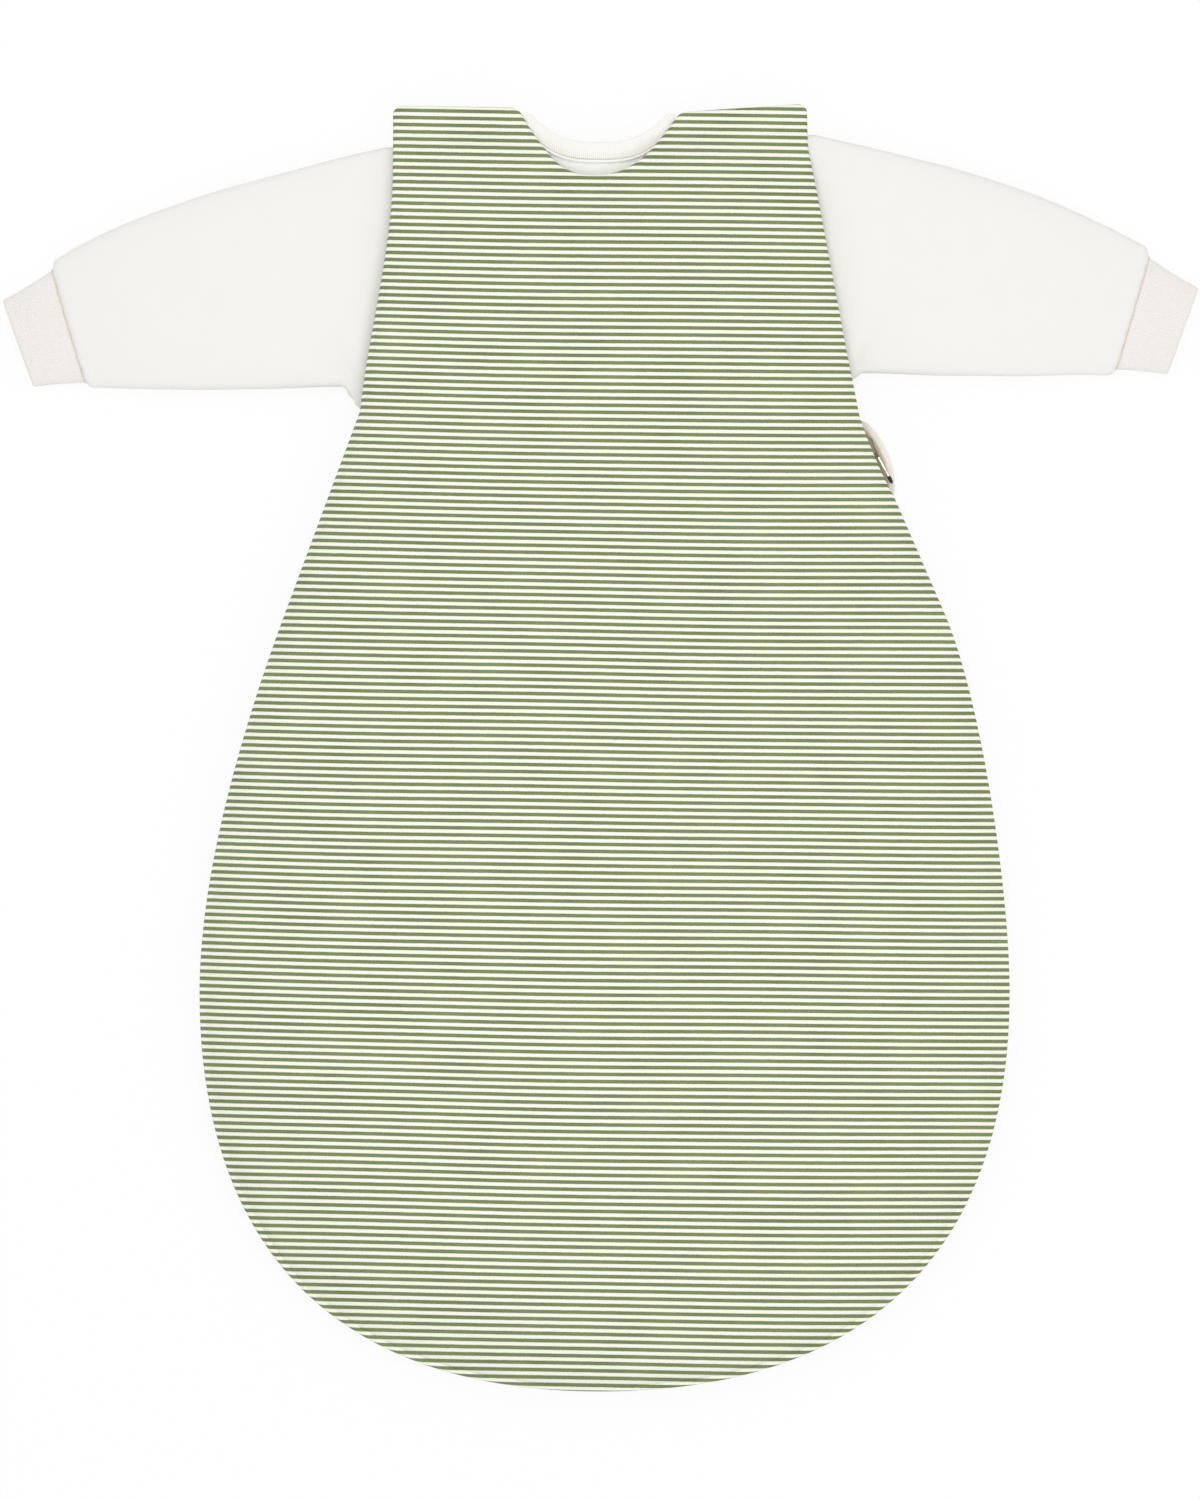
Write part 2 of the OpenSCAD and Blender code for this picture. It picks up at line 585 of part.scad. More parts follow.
module inner_front_over() {
    color([0.95, 0.94, 0.92]) sheet(inner_front_grid(ZIP),
        function(p) inner_front_z(p) + over_rise(p[0]),
        function(p) inner_front_z(p) + over_rise(p[0]) + jersey_t);
}

function inner_side(side) = [for (y = concat(inner_rows, [inner_top_y]))
    [sign_of(side) * inner_half(side, y), y]];
neck_xs = [for (k = [-8:8]) k / 8 * band_half];

module inner_back() {
    color([0.95, 0.94, 0.92]) translate([0, 0, inner_z]) linear_extrude(jersey_t)
        polygon(concat(inner_side(ZIP), [for (x = reversed(neck_xs)) [x, band_seam_y(x)]],
                       reversed(inner_side(SEAM))));
}

// A strip of rib between a seam line and the same line moved up.
module rib_strip(xs, foot, height, z) {
    translate([0, 0, z]) linear_extrude(rib_t)
        polygon(concat([for (x = xs) [x, foot(x)]],
                       [for (x = reversed(xs)) [x, foot(x) + height(x)]]));
}

module neckband_back() {
    color([0.93, 0.90, 0.86]) rib_strip(neck_xs, function(x) band_seam_y(x) + 0.05,
        function(x) neckband_height, inner_z - 0.8);
}

module neckband_front() {
    xs = [for (k = [-8:8]) k / 8 * 37];
    color([0.93, 0.90, 0.86]) rib_strip(xs,
        function(x) inner_neck_y(x) + 0.05,
        function(x) mix(neckband_height, 5, abs(x) / 37), inner_z + jersey_t + 0.7);
}

function placket_z(y) = inner_front_z([0, y, 0]);
module at_placket_snaps(z) {
    for (y = placket_ys) translate([0, y, placket_z(y) + z]) children();
}

module placket_snap_caps() {
    color([0.94, 0.94, 0.92]) at_placket_snaps(placket_rise + jersey_t + snap_slack)
        cylinder(r = placket_snap_r, h = snap_plate);
}

module placket_snap_sockets() {
    color([0.94, 0.94, 0.92]) at_placket_snaps(placket_rise - snap_slack - 1.5)
        socket(placket_snap_r, 1.5);
}

module placket_snap_studs() {
    color([0.94, 0.94, 0.92]) at_placket_snaps(jersey_t + snap_slack)
        stud(placket_snap_r, 0.4, 1.9);
}

module placket_snap_rings() {
    color([0.94, 0.94, 0.92]) at_placket_snaps(-snap_plate - snap_slack) difference() {
        cylinder(r = placket_snap_r, h = snap_plate);
        translate([0, 0, -1]) cylinder(r = placket_snap_r * 0.45, h = 3);
    }
}

// ---- sleeves -------------------------------------------------------------------------

sleeve_out = 4;                        // the sleeve folds this far outside the armhole's edge
root_top_drop = [27, 23];              // the ends of a sleeve's root below the shoulder line
root_low_drop = [152, 145];
sleeve_rise = [4.2, 7];                // outside the bag the sleeve's top stands this much above its root
ring_points = 16;

// A flattened ring between two points of the plan, as points at height z and z + h.
function flat_ring(a, b, z, h, inset) = [for (k = [0:ring_points - 1])
    let (angle = 360 * (k + 0.5) / ring_points, half = norm(b - a) / 2, along = (b - a) / (2 * half),
         c = cos(angle), s = sin(angle),
         across = (half - inset) * sign(c) * pow(abs(c), 0.8),
         up = (h / 2 - inset) * sign(s) * pow(abs(s), 0.6))
    concat((a + b) / 2 + across * along, [z + h / 2 + up])];

// A tube with a wall, through rings of [a, b, z, h].
module tube(rings, wall) {
    n = ring_points;
    count = len(rings);
    outer = [for (r = rings) each flat_ring(r[0], r[1], r[2], r[3], 0)];
    inner = [for (r = rings) each flat_ring(r[0], r[1], r[2], r[3], wall)];
    total = n * count;
    function quad(a, b, c, d) = [[a, b, c], [a, c, d]];
    faces = [
        for (j = [0:count - 2]) for (i = [0:n - 1])
            let (k = (i + 1) % n, a = j * n + i, b = j * n + k, c = (j + 1) * n + k, d = (j + 1) * n + i)
            each concat(quad(a, b, c, d), quad(total + d, total + c, total + b, total + a)),
        for (i = [0:n - 1])
            let (k = (i + 1) % n, e = (count - 1) * n)
            each concat(quad(i, total + i, total + k, k),
                        quad(e + i, e + k, total + e + k, total + e + i))];
    polyhedron(concat(outer, inner), faces, convexity = 6);
}

function flip(side, p) = [sign_of(side) * p[0], p[1]];

// The armhole line, moved outwards, at two heights of the sleeve's root.
function root_top(side, out) = let (y = top_y - root_top_drop[side])
    [half_width(side, min(y, armhole_y[side])) + out, y];
function root_low(side, out) = let (y = top_y - root_low_drop[side])
    [half_width(side, y) + out, y];

function sleeve_top(side) = root_top(side, sleeve_out) + [0, sleeve_rise[side]];
function sleeve_end(side) = let (top = sleeve_top(side))
    [top[0] + sleeve_l * cos(sleeve_slope), top[1] - sleeve_l * sin(sleeve_slope)];
function sleeve_end_low(side) = let (top = sleeve_end(side))
    [top[0] - sleeve_end_w * 0.3, root_low(side, 0)[1] - 1];

sleeve_slope = 18.5;                   // the sleeve's top falls away at this angle
root_h = 12;
root_z = 6.4;
head_h = 8.6;
head_z = inner_z - 0.6;
cuff_h = 11.5;
cuff_z = 0.6;

function sleeve_rings(side) = [for (t = [0, 0.12, 0.3, 0.5, 0.7, 0.86, 0.96, 1])
    let (a = sleeve_top(side), d = sleeve_end(side),
         top = bezier([a, a + [65, -15], d + [-56, 33], d], t),
         low = mix(root_low(side, sleeve_out), sleeve_end_low(side), t),
         h = mix(root_h, cuff_h + 1.5, t) + 5 * sin(180 * t) - (t > 0.99 ? 1.2 : 0))
    [flip(side, side == SEAM ? low : top), flip(side, side == SEAM ? top : low),
     mix(root_z, cuff_z, t), h]];

function head_rings(side) = [for (out = [-inner_inset + 0.3, 0, sleeve_out - body_gap])
    let (t = (out + inner_inset) / (inner_inset + sleeve_out),
         a = root_top(side, out), b = root_low(side, out))
    [flip(side, side == SEAM ? b : a), flip(side, side == SEAM ? a : b),
     mix(head_z, root_z, t), mix(head_h, root_h, t)]];

function cuff_rings(side) = [for (t = [0, 0.35, 1])
    let (seam = sleeve_end_low(side) - sleeve_end(side),
         s0 = sleeve_end(side) + 0.065 * seam, s1 = sleeve_end_low(side) - 0.045 * seam,
         across = (s1 - s0) / norm(s1 - s0), out = [-across[1], across[0]],
         spare = norm(s1 - s0) - cuff_w,
         m0 = s0 + cuff_l * out + across * spare * 0.6,
         m1 = s1 + (cuff_l - 3) * out - across * spare * 0.4, lead = 0.1 * out,
         a = mix(s0, m0, t) + lead, b = mix(s1, m1, t) + lead)
    [flip(side, side == SEAM ? b : a), flip(side, side == SEAM ? a : b), cuff_z + 0.1, cuff_h]];

module sleeve(side) { color([0.95, 0.94, 0.92]) tube(sleeve_rings(side), jersey_t); }
module sleeve_head(side) { color([0.95, 0.94, 0.92]) tube(head_rings(side), jersey_t); }
module cuff(side) { color([0.94, 0.91, 0.89]) tube(cuff_rings(side), rib_t); }

// ---- nodes ---------------------------------------------------------------------------

outer_back_shell();
outer_back_wadding();
outer_back_lining();
chest_shell();
chest_wadding();
chest_lining();
flap_shell();
flap_wadding();
flap_lining();
strap_shell(SEAM);  // left_strap_shell
strap_wadding(SEAM);  // left_strap_wadding
strap_lining(SEAM);  // left_strap_lining
strap_shell(ZIP);  // right_strap_shell
strap_wadding(ZIP);  // right_strap_wadding
strap_lining(ZIP);  // right_strap_lining
strap_sockets(SEAM);  // strap_snap_sockets_left
strap_sockets(ZIP);  // strap_snap_sockets_right
strap_snap_studs();
strap_snap_rings();
side_seam();
back_zip_tape();
back_zip_coil();
chest_zip_tape();
chest_zip_coil();
flap_zip_tape();
flap_zip_coil();
zip_top_stops();
zip_end_stop();
zip_slider();
zip_pull_tab();
zip_garage();
inner_back();
inner_front_under();
inner_front_over();
neckband_back();
neckband_front();
placket_snap_caps();
placket_snap_sockets();
placket_snap_studs();
placket_snap_rings();
sleeve_head(SEAM);  // left_sleeve_head
sleeve_head(ZIP);  // right_sleeve_head
sleeve(SEAM);  // left_sleeve
sleeve(ZIP);  // right_sleeve
cuff(SEAM);  // left_cuff
cuff(ZIP);  // right_cuff
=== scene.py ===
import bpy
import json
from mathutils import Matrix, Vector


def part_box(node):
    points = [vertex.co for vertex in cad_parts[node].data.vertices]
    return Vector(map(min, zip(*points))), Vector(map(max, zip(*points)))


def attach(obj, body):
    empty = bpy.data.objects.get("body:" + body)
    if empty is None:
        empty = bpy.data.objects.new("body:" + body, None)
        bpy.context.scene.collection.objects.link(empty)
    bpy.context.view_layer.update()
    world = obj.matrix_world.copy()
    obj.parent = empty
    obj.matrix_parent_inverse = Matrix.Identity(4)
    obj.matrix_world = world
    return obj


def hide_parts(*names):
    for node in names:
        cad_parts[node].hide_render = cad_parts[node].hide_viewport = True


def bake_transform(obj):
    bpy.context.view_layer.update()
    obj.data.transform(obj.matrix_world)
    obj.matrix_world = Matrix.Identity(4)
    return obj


bl_info = {
    "name": "Baby Sleeping Bag",
    "version": (1, 0, 0),
    "blender": (4, 5, 0),
    "location": "View3D > Sidebar > Sleeping Bag",
    "description": "Builds a quilted baby sleeping bag with a side zip, snap shoulders and an inner bag",
    "category": "Add Mesh",
}

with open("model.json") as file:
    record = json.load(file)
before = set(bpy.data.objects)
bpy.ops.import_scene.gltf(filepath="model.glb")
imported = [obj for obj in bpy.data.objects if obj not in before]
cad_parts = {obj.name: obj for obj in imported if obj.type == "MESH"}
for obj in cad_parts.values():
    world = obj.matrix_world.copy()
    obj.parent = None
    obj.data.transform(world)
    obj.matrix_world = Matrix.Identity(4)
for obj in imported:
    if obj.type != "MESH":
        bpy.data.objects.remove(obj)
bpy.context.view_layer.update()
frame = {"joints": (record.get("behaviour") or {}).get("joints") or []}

import json
import math
from collections import namedtuple
from contextlib import contextmanager

import bmesh
import bpy
import numpy as np
from bpy.props import FloatProperty, FloatVectorProperty, PointerProperty
from bpy.types import Operator, Panel, PropertyGroup
from mathutils import Matrix, Vector, noise
from mathutils.kdtree import KDTree

# Lengths below are in millimetres, in the frame of the solids; pieces are made in metres.
MM = 0.001
SEAM, ZIP = 0, 1                     # the seamed side at -X, the zip side at +X
SIGN = (-1.0, 1.0)
SIDE_NAMES = ("left", "right")

TOP = 1000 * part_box("outer_back_shell")[1].y
HEM = TOP - 700.0
WAIST = TOP - 275.0
HIP = TOP - 483.0
SHOULDER_HALF = 113.0
ARMPIT = ((130.5, TOP - 166.0), (141.5, TOP - 170.0))
WAIST_HALF = (171.0, 187.0)
HIP_HALF = (218.0, 223.0)
ARMHOLE_CURVES = (
    ((112.8, TOP - 40.0), (113.5, 270.0), (127.0, 220.0), ARMPIT[SEAM]),
    ((113.4, TOP - 24.0), (121.0, 290.0), (130.0, 235.0), ARMPIT[ZIP]),
)
SIDE_PULL = (62.0, 54.0)
HIP_PULL = (68.0, 52.0)
HEM_FULLNESS = 0.65

NECK_HALF = 43.7
NECK_POWER = 2.4
FRONT_NECK_DEPTH = 37.0
BACK_NECK_DEPTH = 25.0
NECK_FOOT = TOP - FRONT_NECK_DEPTH
STRAP_CORNER = 5.0
SHOULDER_DIP = (1.0, 4.0)             # how far a shoulder edge falls towards the neck
SHOULDER_LIFT = (0.9, 2.0)            # how far a shoulder edge is drawn up
# How far the outer and the inner neck are shifted: sideways at the foot and at the top, and down.
NECK_SHIFT, BAND_SHIFT = (2.8, 0.9, 1.0), (0.9, 0.5, 1.1)

SHELL, LINING, JERSEY = 1.2, 1.0, 1.2
WADDING, WADDING_EDGE = 4.8, 1.6
EDGE = SHELL + WADDING_EDGE + LINING
ROLL = EDGE / 2                       # radius of a panel's rolled edge
TURNING = 2.6                         # width of the shell turned in behind the zip tape

ZIP_LOW, ZIP_HIGH = 9.8, 19.8
ZIP_MID = (ZIP_LOW + ZIP_HIGH) / 2
TAPE_OUT, TAPE = 3.8, 0.6
CHAIN_HALF = 2.4
CHAIN_MIDDLE = 4.1                    # the chain's middle lies this far inside the edge
CHAIN_TOP = ARMPIT[ZIP][1]
SLIDER_Y = CHAIN_TOP - 12.5
CHAIN_END = WAIST - 2.0
RIM_STEP = 1.0


# ---- curves and tables ----

def mix(a, b, t):
    return a + (b - a) * t


def ease(t):
    t = np.clip(t, 0.0, 1.0)
    return t * t * (3 - 2 * t)


def bezier(points, t):
    p = [np.asarray(q, float) for q in points]
    t = np.asarray(t, float)[..., None]
    return (1 - t) ** 3 * p[0] + 3 * (1 - t) ** 2 * t * p[1] + 3 * (1 - t) * t * t * p[2] + t ** 3 * p[3]


def unit(v):
    return v / np.linalg.norm(v, axis=-1, keepdims=True)


def right_of(ahead):
    """Directions a quarter turn to the right of the given ones."""
    return np.stack([ahead[..., 1], -ahead[..., 0]], axis=-1)


def distances(line):
    """How far along a polyline each of its points lies."""
    return np.concatenate([[0.0], np.cumsum(np.linalg.norm(np.diff(line, axis=0), axis=1))])


def between(at, rows, s):
    """Values between the rows of a table, read at s."""
    return np.stack([np.interp(s, at, column) for column in rows.T], axis=-1)


def resample(line, step):
    """Points at even steps along a polyline."""
    run = distances(line)
    return between(run, line, np.linspace(0, run[-1], max(2, int(round(run[-1] / step)) + 1)))


def drop_table(pairs, spread):
    """A height by distance below the shoulder line, with its corners rounded over a spread."""
    at = np.arange(-60.0, 761.0)
    value = np.interp(at, *zip(*pairs))
    window = np.hanning(spread * 2 + 3)
    window /= window.sum()
    value = np.convolve(np.pad(value, len(window) // 2, mode="edge"), window, mode="valid")
    return lambda y: np.interp(TOP - np.asarray(y, float), at, value)


RIM_HEIGHTS = ((0, 10.9), (15, 10.9), (22, 15), (32, 18.5), (45, 21), (75, 21.5), (158, 21.5),
               (169, 19.8), (700, 19.8))
rim_height = drop_table(RIM_HEIGHTS, 6)
crown_height = drop_table(
    ((0, 0), (18, 0), (45, 2.88), (80, 7.92), (166, 14.04), (275, 24.12), (483, 36), (700, 36)), 26)
back_lift = drop_table(((0, 1.5), (146, 1.5), (167, 6), (700, 6)), 8)
snap_room = drop_table(((0, 0.8), (22, 0.8), (44, 0), (700, 0)), 5)


# ---- the outer bag's outline ----

def outline_points(side):
    """The edge of one side from the shoulder line down to the middle of the hem."""
    waist = np.array([WAIST_HALF[side], WAIST])
    armpit = np.array(ARMPIT[side])
    hip = np.array([HIP_HALF[side], HIP])
    along = (waist - armpit) / np.linalg.norm(waist - armpit)
    rise = HIP - HEM
    t = np.linspace(0, 1, 60)
    line = np.concatenate([
        [[SHOULDER_HALF, TOP]],
        bezier(ARMHOLE_CURVES[side], t),
        [mix(armpit, waist, 0.5)],
        bezier((waist, waist + SIDE_PULL[side] * along, hip + [0, HIP_PULL[side]], hip), t),
        bezier((hip, hip - [0, HEM_FULLNESS * rise], [HEM_FULLNESS * hip[0], HEM], [0, HEM]), t[1:]),
    ])
    return resample(line, RIM_STEP)


class Rim:
    """One side's edge moved in by an inset: its half width and outward direction by height."""

    def __init__(self, side, inset=0.0):
        line = outline_points(side)
        out = -right_of(unit(np.gradient(line, axis=0)))
        out[0] = out[1] = (1.0, 0.0)
        out[-1] = (0.0, -1.0)
        line = line - inset * out
        self.x, self.y, self.out = line[::-1, 0], line[::-1, 1], out[::-1]

    def half(self, y):
        return np.interp(y, self.y, self.x)

    def outward(self, y):
        return unit(between(self.y, self.out, y))


EDGE_RIMS = (Rim(SEAM), Rim(ZIP))


def half_width(side, y):
    return EDGE_RIMS[side].half(y)


def edge_share(x, y):
    """0 in the middle of the bag and 1 at its edge."""
    w = np.where(x < 0, half_width(SEAM, y), half_width(ZIP, y))
    u = np.clip(np.abs(x) / np.maximum(w, 1e-6), 0, 1)
    s = np.clip((HIP - y) / (HIP - HEM), 0, 1)
    return np.where(y >= HIP, u, np.sqrt(u * u * (1 - s * s) + s * s))


def neckline_y(x, depth):
    return TOP - depth * (1 - np.minimum(1, np.abs(x) / NECK_HALF) ** NECK_POWER)


def neckline_x(y, depth):
    return NECK_HALF * (np.maximum(0, y - TOP + depth) / depth) ** (1 / NECK_POWER)


def tree_of(points):
    tree = KDTree(len(points))
    for k, p in enumerate(points):
        tree.insert((p[0], p[1], 0.0), k)
    tree.balance()
    return tree


def nearest(tree, x, y):
    """Distance to the nearest point of a line, and that point's number."""
    found = [tree.find((a, b, 0.0)) for a, b in zip(np.ravel(x), np.ravel(y))]
    distance, number = zip(*((f[2], f[1]) for f in found))
    return np.array(distance).reshape(np.shape(x)), np.array(number).reshape(np.shape(x))


RIM_LINE = np.concatenate([outline_points(ZIP), (outline_points(SEAM) * [-1, 1])[-2::-1]])
RIM_TREE = tree_of(RIM_LINE)


def top_line(depth):
    """The neckline and both shoulder edges of a panel."""
    x = np.linspace(-NECK_HALF, NECK_HALF, 121)
    neck = np.stack([x, neckline_y(x, depth)], axis=1)
    ends = np.linspace(NECK_HALF + 1, SHOULDER_HALF, 60)
    shoulder = np.stack([ends, np.full(60, TOP)], axis=1)
    return np.concatenate([shoulder[::-1] * [-1, 1], neck, shoulder])


TOP_TREES = {depth: tree_of(top_line(depth)) for depth in (FRONT_NECK_DEPTH, BACK_NECK_DEPTH)}


# ---- heights of the layers ----

def dome(r):
    return np.maximum(0, 1 - np.minimum(1, r / 0.985) ** 2.6) ** 0.68


def wadding_height(x, y, r, depth):
    from_top = nearest(TOP_TREES[depth], x, y)[0]
    return mix(WADDING_EDGE, WADDING, dome(r) ** 0.6 * ease(from_top / 24))


def soft_relief(x, y, height, pucker, seed, depth):
    """The soft relief of a panel: slow hollows, and small puckers along its seams."""
    slow = np.array([
        noise.noise((a / 74 + seed, b / 95, 0.0)) + 0.5 * noise.noise((a / 36 + b / 90, b / 44 + seed, 3.0))
        for a, b in zip(np.ravel(x), np.ravel(y))]).reshape(np.shape(x))
    from_rim, number = nearest(RIM_TREE, x, y)
    from_top = nearest(TOP_TREES[depth], x, y)[0]
    inside = ease((from_rim - 3) / 45) * ease((from_top - 8) / 50)
    s = number * RIM_STEP
    ripple = np.sin(s / 1.9 + 1.3 * np.sin(s / 17)) + 0.6 * np.sin(s / 3.1 + 2)
    near = np.exp(-((from_rim - 7) / 5.5) ** 2)
    return height * slow * inside + pucker * ripple * near * (y < TOP - 45)


def front_low(x, y):
    """The height under the front's lining."""
    relief = soft_relief(x, y, 1.1, 0.22, 1.7, FRONT_NECK_DEPTH)
    return rim_height(y) + crown_height(y) * dome(edge_share(x, y)) + relief


def front_high(x, y):
    """The height of the front's shell."""
    return front_low(x, y) + LINING + wadding_height(x, y, edge_share(x, y), FRONT_NECK_DEPTH) + SHELL


def back_low(x, y, high=False):
    """The height under the back's shell, or on the back's lining."""
    r = edge_share(x, y)
    z = back_lift(y) * np.maximum(0, (r - 0.6) / 0.4) ** 2.4 + snap_room(y)
    relief = soft_relief(x, y, 0.7, 0.2, 8.2, BACK_NECK_DEPTH)
    if high:
        return z + SHELL + wadding_height(x, y, r, BACK_NECK_DEPTH) + np.maximum(-0.6, relief) + LINING
    return z + np.maximum(0, relief * 0.25)


def back_high(x, y):
    return back_low(x, y, high=True)


# ---- building surfaces ----

class Skin:
    """A surface in the making: points, cloth map and faces."""

    def __init__(self):
        self.points, self.map, self.faces, self.count = [], [], [], 0

    def add(self, points, cloth):
        points = np.asarray(points, float)
        index = self.count + np.arange(points[..., 0].size).reshape(points.shape[:-1])
        self.points.append(points.reshape(-1, 3))
        self.map.append(np.asarray(cloth, float).reshape(-1, 2))
        self.count += index.size
        return index

    def quads(self, a, b, c, d, flip=False):
        q = np.stack([np.ravel(v) for v in (a, b, c, d)], axis=1)
        self.faces.append(q[:, ::-1] if flip else q)

    def net(self, index, flip=False, around=False, along=False):
        """Faces over a grid of rows and columns; it may close on itself around or along."""
        i = index
        if around:
            i = np.concatenate([i, i[:, :1]], axis=1)
        if along:
            i = np.concatenate([i, i[:1]], axis=0)
        self.quads(i[:-1, :-1], i[:-1, 1:], i[1:, 1:], i[1:, :-1], flip)

    def strip(self, low, high, flip=False):
        self.quads(low[:-1], high[:-1], high[1:], low[1:], flip)

    def mesh(self, name):
        data = bpy.data.meshes.new(name)
        points = np.concatenate(self.points) * MM
        cloth = np.concatenate(self.map) * MM
        faces = np.concatenate(self.faces)
        data.from_pydata(points.tolist(), [], faces.tolist())
        layer = data.uv_layers.new(name="cloth")
        corners = np.zeros(len(data.loops), np.int32)
        data.loops.foreach_get("vertex_index", corners)
        layer.data.foreach_set("uv", cloth[corners].astype(np.float32).ravel())
        data.update()
        return placed(name, data)

    def closed(self, name, distance, angle):
        """The piece with its doubled points joined and its faces turned outwards."""
        piece = self.mesh(name)
        weld(piece, distance)
        smooth(piece, angle)
        return piece


def placed(name, data):
    """A new object in the scene."""
    made = bpy.data.objects.new(name, data)
    bpy.context.scene.collection.objects.link(made)
    return made


def only(piece):
    """Selects one piece alone and makes it active."""
    if bpy.context.object and bpy.context.object.mode != "OBJECT":
        bpy.ops.object.mode_set(mode="OBJECT")
    bpy.ops.object.select_all(action="DESELECT")
    piece.select_set(True)
    bpy.context.view_layer.objects.active = piece
    return piece


def net_piece(name, rows, cloth, **ways):
    """A piece made of one grid of points."""
    skin = Skin()
    skin.net(skin.add(rows, cloth), **ways)
    return skin.mesh(name)


def cloth_piece(name, rows, cloth, thickness, angle=50.0, **ways):
    """A piece of cloth over one grid of points."""
    piece = net_piece(name, rows, cloth, **ways)
    thicken(piece, thickness)
    smooth(piece, angle)
    return piece


def apply_modifier(piece, kind, **values):
    modifier = piece.modifiers.new("Shape", kind)
    for key, value in values.items():
        setattr(modifier, key, value)
    only(piece)
    bpy.ops.object.modifier_apply(modifier=modifier.name)


def thicken(piece, thickness):
    apply_modifier(piece, "SOLIDIFY", thickness=thickness * MM, offset=-1.0, use_rim=True)


def round_off(piece, width, segments, angle):
    apply_modifier(piece, "BEVEL", width=width * MM, segments=segments, limit_method="ANGLE",
                   angle_limit=math.radians(angle))


def smooth(piece, angle=50.0):
    only(piece)
    bpy.ops.object.shade_smooth_by_angle(angle=math.radians(angle))


@contextmanager
def mesh_of(piece):
    """A piece's mesh, opened for a change and then written back."""
    mesh = bmesh.new()
    mesh.from_mesh(piece.data)
    yield mesh
    mesh.to_mesh(piece.data)
    mesh.free()
    piece.data.update()


@contextmanager
def editing(select="SELECT"):
    """Edit mode on the active piece, with all of it selected, nothing, or what was selected before."""
    bpy.ops.object.mode_set(mode="EDIT")
    if select:
        bpy.ops.mesh.select_all(action=select)
    yield
    bpy.ops.object.mode_set(mode="OBJECT")


def weld(piece, distance=0.01, outwards=True):
    """Joins points that lie together, and turns the faces outwards unless they are right as they are."""
    with mesh_of(piece) as mesh:
        bmesh.ops.remove_doubles(mesh, verts=mesh.verts, dist=distance * MM)
        if outwards:
            bmesh.ops.recalc_face_normals(mesh, faces=mesh.faces)


def flat_area(piece):
    """Half the area of a thin closed piece, in square metres."""
    return sum(p.area for p in piece.data.polygons) / 2


def settle(piece, finish, *nodes, body="outer_bag", bend=None):
    """Gives a finished piece its material and its body, and hides the parts that it replaces; a piece given a
    bend gets no body, has its place baked into its mesh, and is not bent.
    """
    slot, material = finish_of(finish)
    piece.data.materials.clear()
    piece.data.materials.append(material)
    if bend:
        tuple(bend[2])
        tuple(bend[3])
        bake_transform(piece)
    else:
        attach(piece, body)
    if nodes:
        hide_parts(*nodes)


# ---- panels ----

def across(count):
    v = np.linspace(-1, 1, count)
    return 0.6 * v + 0.4 * np.sin(np.pi / 2 * v)


# A grid of plan points, the places in it of a finished edge, and the directions away from that edge.
Patch = namedtuple("Patch", "plan path out")


def border(rows, columns):
    """The places round the border of a grid, back to its first corner."""
    loop = ([(0, i) for i in range(columns)] + [(j, columns - 1) for j in range(1, rows)]
            + [(rows - 1, i) for i in range(columns - 2, -1, -1)] + [(j, 0) for j in range(rows - 2, -1, -1)])
    return tuple(np.array(loop).T)


def main_patch(foot, inset, hem_rows, side_rows, columns):
    """A panel up to the foot of its neckline; its edge runs down the left, round the hem and up the right."""
    rims = (Rim(SEAM, inset), Rim(ZIP, inset))
    bottom = HEM + inset
    k = np.arange(1, hem_rows + 1) / hem_rows
    y = np.concatenate([HIP - (HIP - bottom) * (1 - k ** 2), np.linspace(HIP, foot, side_rows + 1)[1:]])
    u = across(columns)
    w = np.where(u[None, :] < 0, rims[SEAM].half(y)[:, None], rims[ZIP].half(y)[:, None])
    plan = np.stack([u[None, :] * w, np.broadcast_to(y[:, None], w.shape)], axis=-1)
    rows = np.arange(len(y))
    path = ([(j, 0) for j in rows[::-1]] + [(0, i) for i in range(1, columns)]
            + [(j, columns - 1) for j in rows[1:]])
    left, right = rims[SEAM].outward(y) * [-1, 1], rims[ZIP].outward(y)
    bend = np.linspace(0, 1, columns)[1:-1, None]
    out = np.concatenate([left[::-1], mix(left[0], right[0], bend), right])
    return Patch(plan, tuple(np.array(path).T), unit(out))


